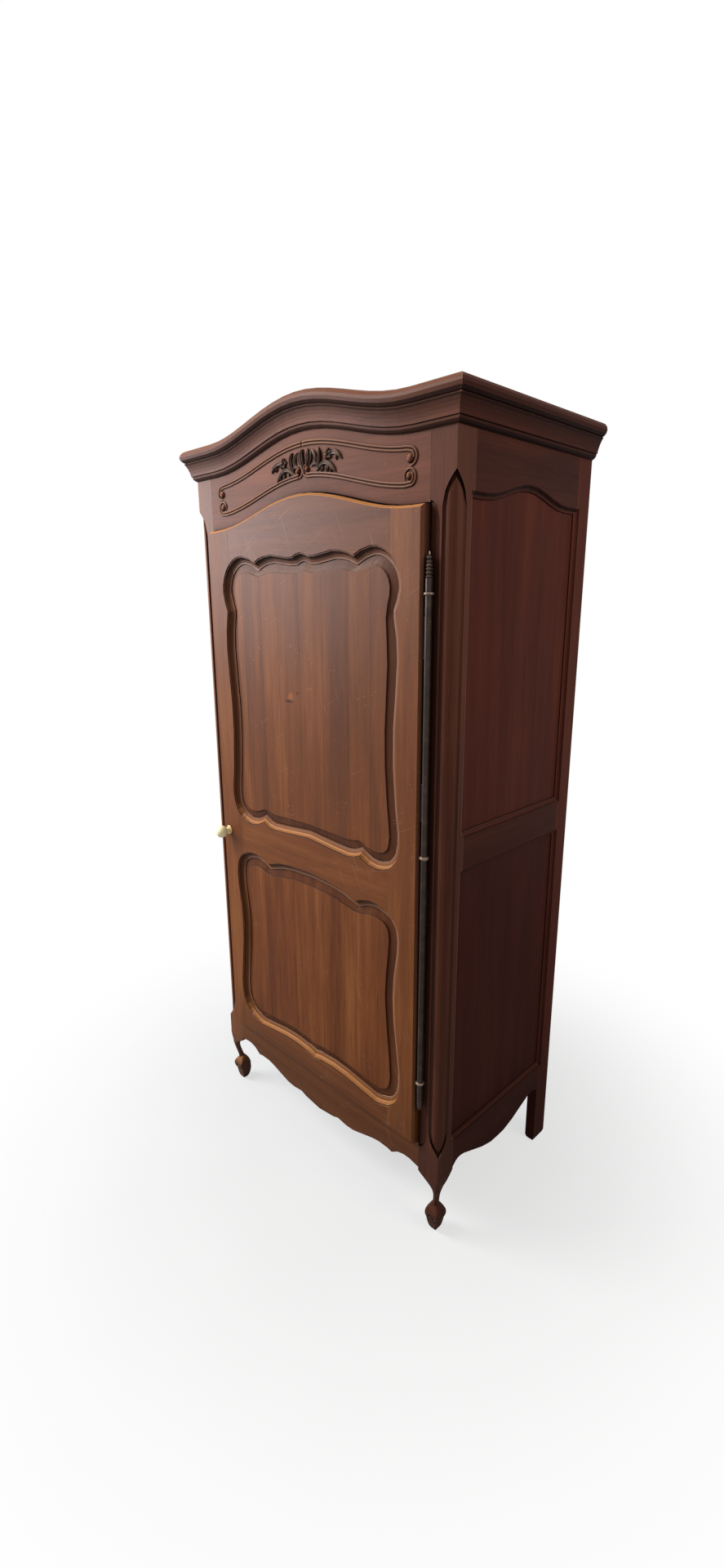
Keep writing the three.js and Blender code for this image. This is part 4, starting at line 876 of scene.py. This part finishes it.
# %% A smooth knob
knob_x, knob_z, door_face = -0.341, 0.874, -0.232
ball_radius, ball_stand, ball_steps, pole = 0.0169, 0.0271, 30, 0.00005
neck_radius, neck_top, neck_foot, neck_flare = 0.0060, 0.008, 0.0046, 0.0004


def turned_forward(name, profile, around=48):
    """A turned shape on an axis that points forward, from (radius, distance from the door's face)."""
    vertices, faces, count = [], [], len(profile)
    for i in range(around):
        angle = 2 * math.pi * i / around
        for radius, stand in profile:
            vertices.append((knob_x + radius * math.cos(angle), door_face - stand,
                             knob_z + radius * math.sin(angle)))
        for k in range(count - 1):
            j = (i + 1) % around
            faces.append((i * count + k, i * count + k + 1, j * count + k + 1, j * count + k))
    piece = new_piece(name, vertices, faces)
    piece.data.shade_smooth()
    return piece


neck_angle = math.pi - math.asin(neck_radius / ball_radius)
ball_angles = [neck_angle * i / ball_steps for i in range(ball_steps + 1)]
ball = [(ball_radius * math.sin(angle), ball_stand + ball_radius * math.cos(angle)) for angle in ball_angles]
ball[0] = (pole, ball[0][1])
neck = [(neck_radius, neck_top), (neck_radius + neck_flare, neck_foot)]
knob_ball = turned_forward("knob_ball", ball + neck)
knob_ball.data.materials.append(knob_cream)
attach(knob_ball, "door")
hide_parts("door_knob")
print("knob", len(knob_ball.data.polygons), "faces")

# %% [markdown]
# ## Collars of the hinge
# Where the two barrels end, and where they meet, the founder left a round collar, rubbed bright by hands and
# dusters; its pale rims also carry a painted highlight. The solids carry a low one; a smooth bead is slipped
# over each, as proud as the door's edge allows. The upper one turns with the door and the other two stay on
# the cabinet.

# %% Bright collars
hinge_x, hinge_y = 0.372, -0.223
collar_reach, collar_depth, collar_half = 0.0104, 0.0040, 0.0026


def collar(name, height, body, around=40, steps=12):
    """A bead round the hinge, oval in section, with its outermost line at the given height."""
    vertices, faces = [], []
    for i in range(around):
        angle = 2 * math.pi * i / around
        for k in range(steps):
            slope = 2 * math.pi * k / steps
            radius = collar_reach - collar_depth / 2 + collar_depth / 2 * math.cos(slope)
            vertices.append((hinge_x + radius * math.cos(angle), hinge_y + radius * math.sin(angle),
                             height + collar_half * math.sin(slope)))
            j, after = (i + 1) % around, (k + 1) % steps
            faces.append((i * steps + k, j * steps + k, j * steps + after, i * steps + after))
    piece = new_piece(name, vertices, faces)
    piece.data.shade_smooth()
    piece.data.materials.append(rubbed_brass)
    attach(piece, body)
    print(name, "at", height)


collar("collar_upper", 1.514, "door")
collar("collar_middle", 0.975, "cabinet")
collar("collar_lower", 0.420, "cabinet")

# %% [markdown]
# ## Floor
# A pale floor keeps the cabinet's shadow near its feet and turns plain white further off, for the camera and
# in far reflections only, so that it throws no more light on the wood than paint would. Its white is an
# emission of strength 1, mixed in by the distance from the cabinet.

# %% Pale floor
half_floor = 14
floor_corners = [(-half_floor, -half_floor, 0), (half_floor, -half_floor, 0), (half_floor, half_floor, 0),
                 (-half_floor, half_floor, 0)]
floor = new_piece("floor", floor_corners, [(0, 1, 2, 3)])

ground = Finish("pale floor", Roughness=0.9, Specular_IOR_Level=0.1)
spot = here(ground)
dust = noise(ground, spot, 3.0, 3.0)
ground.paint(Base_Color=ramp(ground, dust, (0.2, (0.46, 0.457, 0.453)), (0.8, (0.52, 0.517, 0.513))))
far = ground.node("ShaderNodeVectorMath", {"operation": "LENGTH"}, {0: spot}, "Value")
seen = ground.node("ShaderNodeLightPath", out="Is Camera Ray") * (far.between(0.35, 1.35) * 0.35 + 0.65)
reflected = ground.node("ShaderNodeLightPath", out="Is Glossy Ray") * far.between(1.6, 4.0)
paint = Value(ground, ground.shader.outputs["BSDF"])
white = ground.node("ShaderNodeEmission", values={"Color": (1, 1, 1, 1), "Strength": 1.0}, out="Emission")
whitened = ground.node("ShaderNodeMixShader", values={0: seen.most(reflected), 1: paint, 2: white})
ground.links.new(whitened.socket, ground.nodes["Material Output"].inputs["Surface"])
floor.data.materials.append(ground.material)
print("floor", 2 * half_floor, "m square")

# %% [markdown]
# ## What surrounds it
# A dim, slightly blue world fills the shadows. The camera doesn't see it: for the camera, and in what shines,
# the world is plain white, as a studio's backdrop is.

# %% Soft surroundings
world = bpy.data.worlds.new("studio")
bpy.context.scene.world = world
world.use_nodes = True
studio = Net(world.node_tree)
fill = studio.node("ShaderNodeBackground", values={"Color": (0.86, 0.9, 1.0, 1), "Strength": 0.26})
backdrop = studio.node("ShaderNodeBackground", values={"Color": (1, 1, 1, 1), "Strength": 1.0})
straight = studio.node("ShaderNodeLightPath", out="Is Camera Ray")
shone = studio.node("ShaderNodeLightPath", out="Is Glossy Ray")
surroundings = studio.node("ShaderNodeMixShader", values={0: straight.most(shone), 1: fill, 2: backdrop})
studio.links.new(surroundings.socket, studio.nodes["World Output"].inputs["Surface"])
print("world:", world.name)

# %% [markdown]
# ## Three lamps
# A lamp high at the left grazes the front, so the mouldings throw soft shadows down and to the right; a second
# one, lower, is the window whose cool shine lies on the upper left of the door. A warm lamp at the right
# lights the side. All are large, so that no shadow has a hard edge.

# %% Lamps
def lamp(name, place, aim, size, power, tone):
    light = bpy.data.lights.new(name, "AREA")
    light.shape = "RECTANGLE"
    light.size, light.size_y = size
    light.energy = power
    light.color = tone
    shown = bpy.data.objects.new(name, light)
    shown.location = place
    shown.rotation_euler = (Vector(aim) - Vector(place)).to_track_quat("-Z", "Y").to_euler()
    bpy.context.scene.collection.objects.link(shown)
    print(name, power, "W")


lamp("window", (-2.4, -1.7, 1.9), (0, -0.2, 1.3), (1.1, 1.0), 72, (0.86, 0.93, 1.0))
lamp("skylight", (-1.9, -1.9, 3.4), (0, -0.1, 1.1), (1.4, 1.4), 125, (1.0, 0.97, 0.94))
lamp("room", (2.5, 0.1, 2.6), (0.4, 0.1, 1.2), (1.2, 1.2), 46, (1.0, 0.9, 0.8))

# %% [markdown]
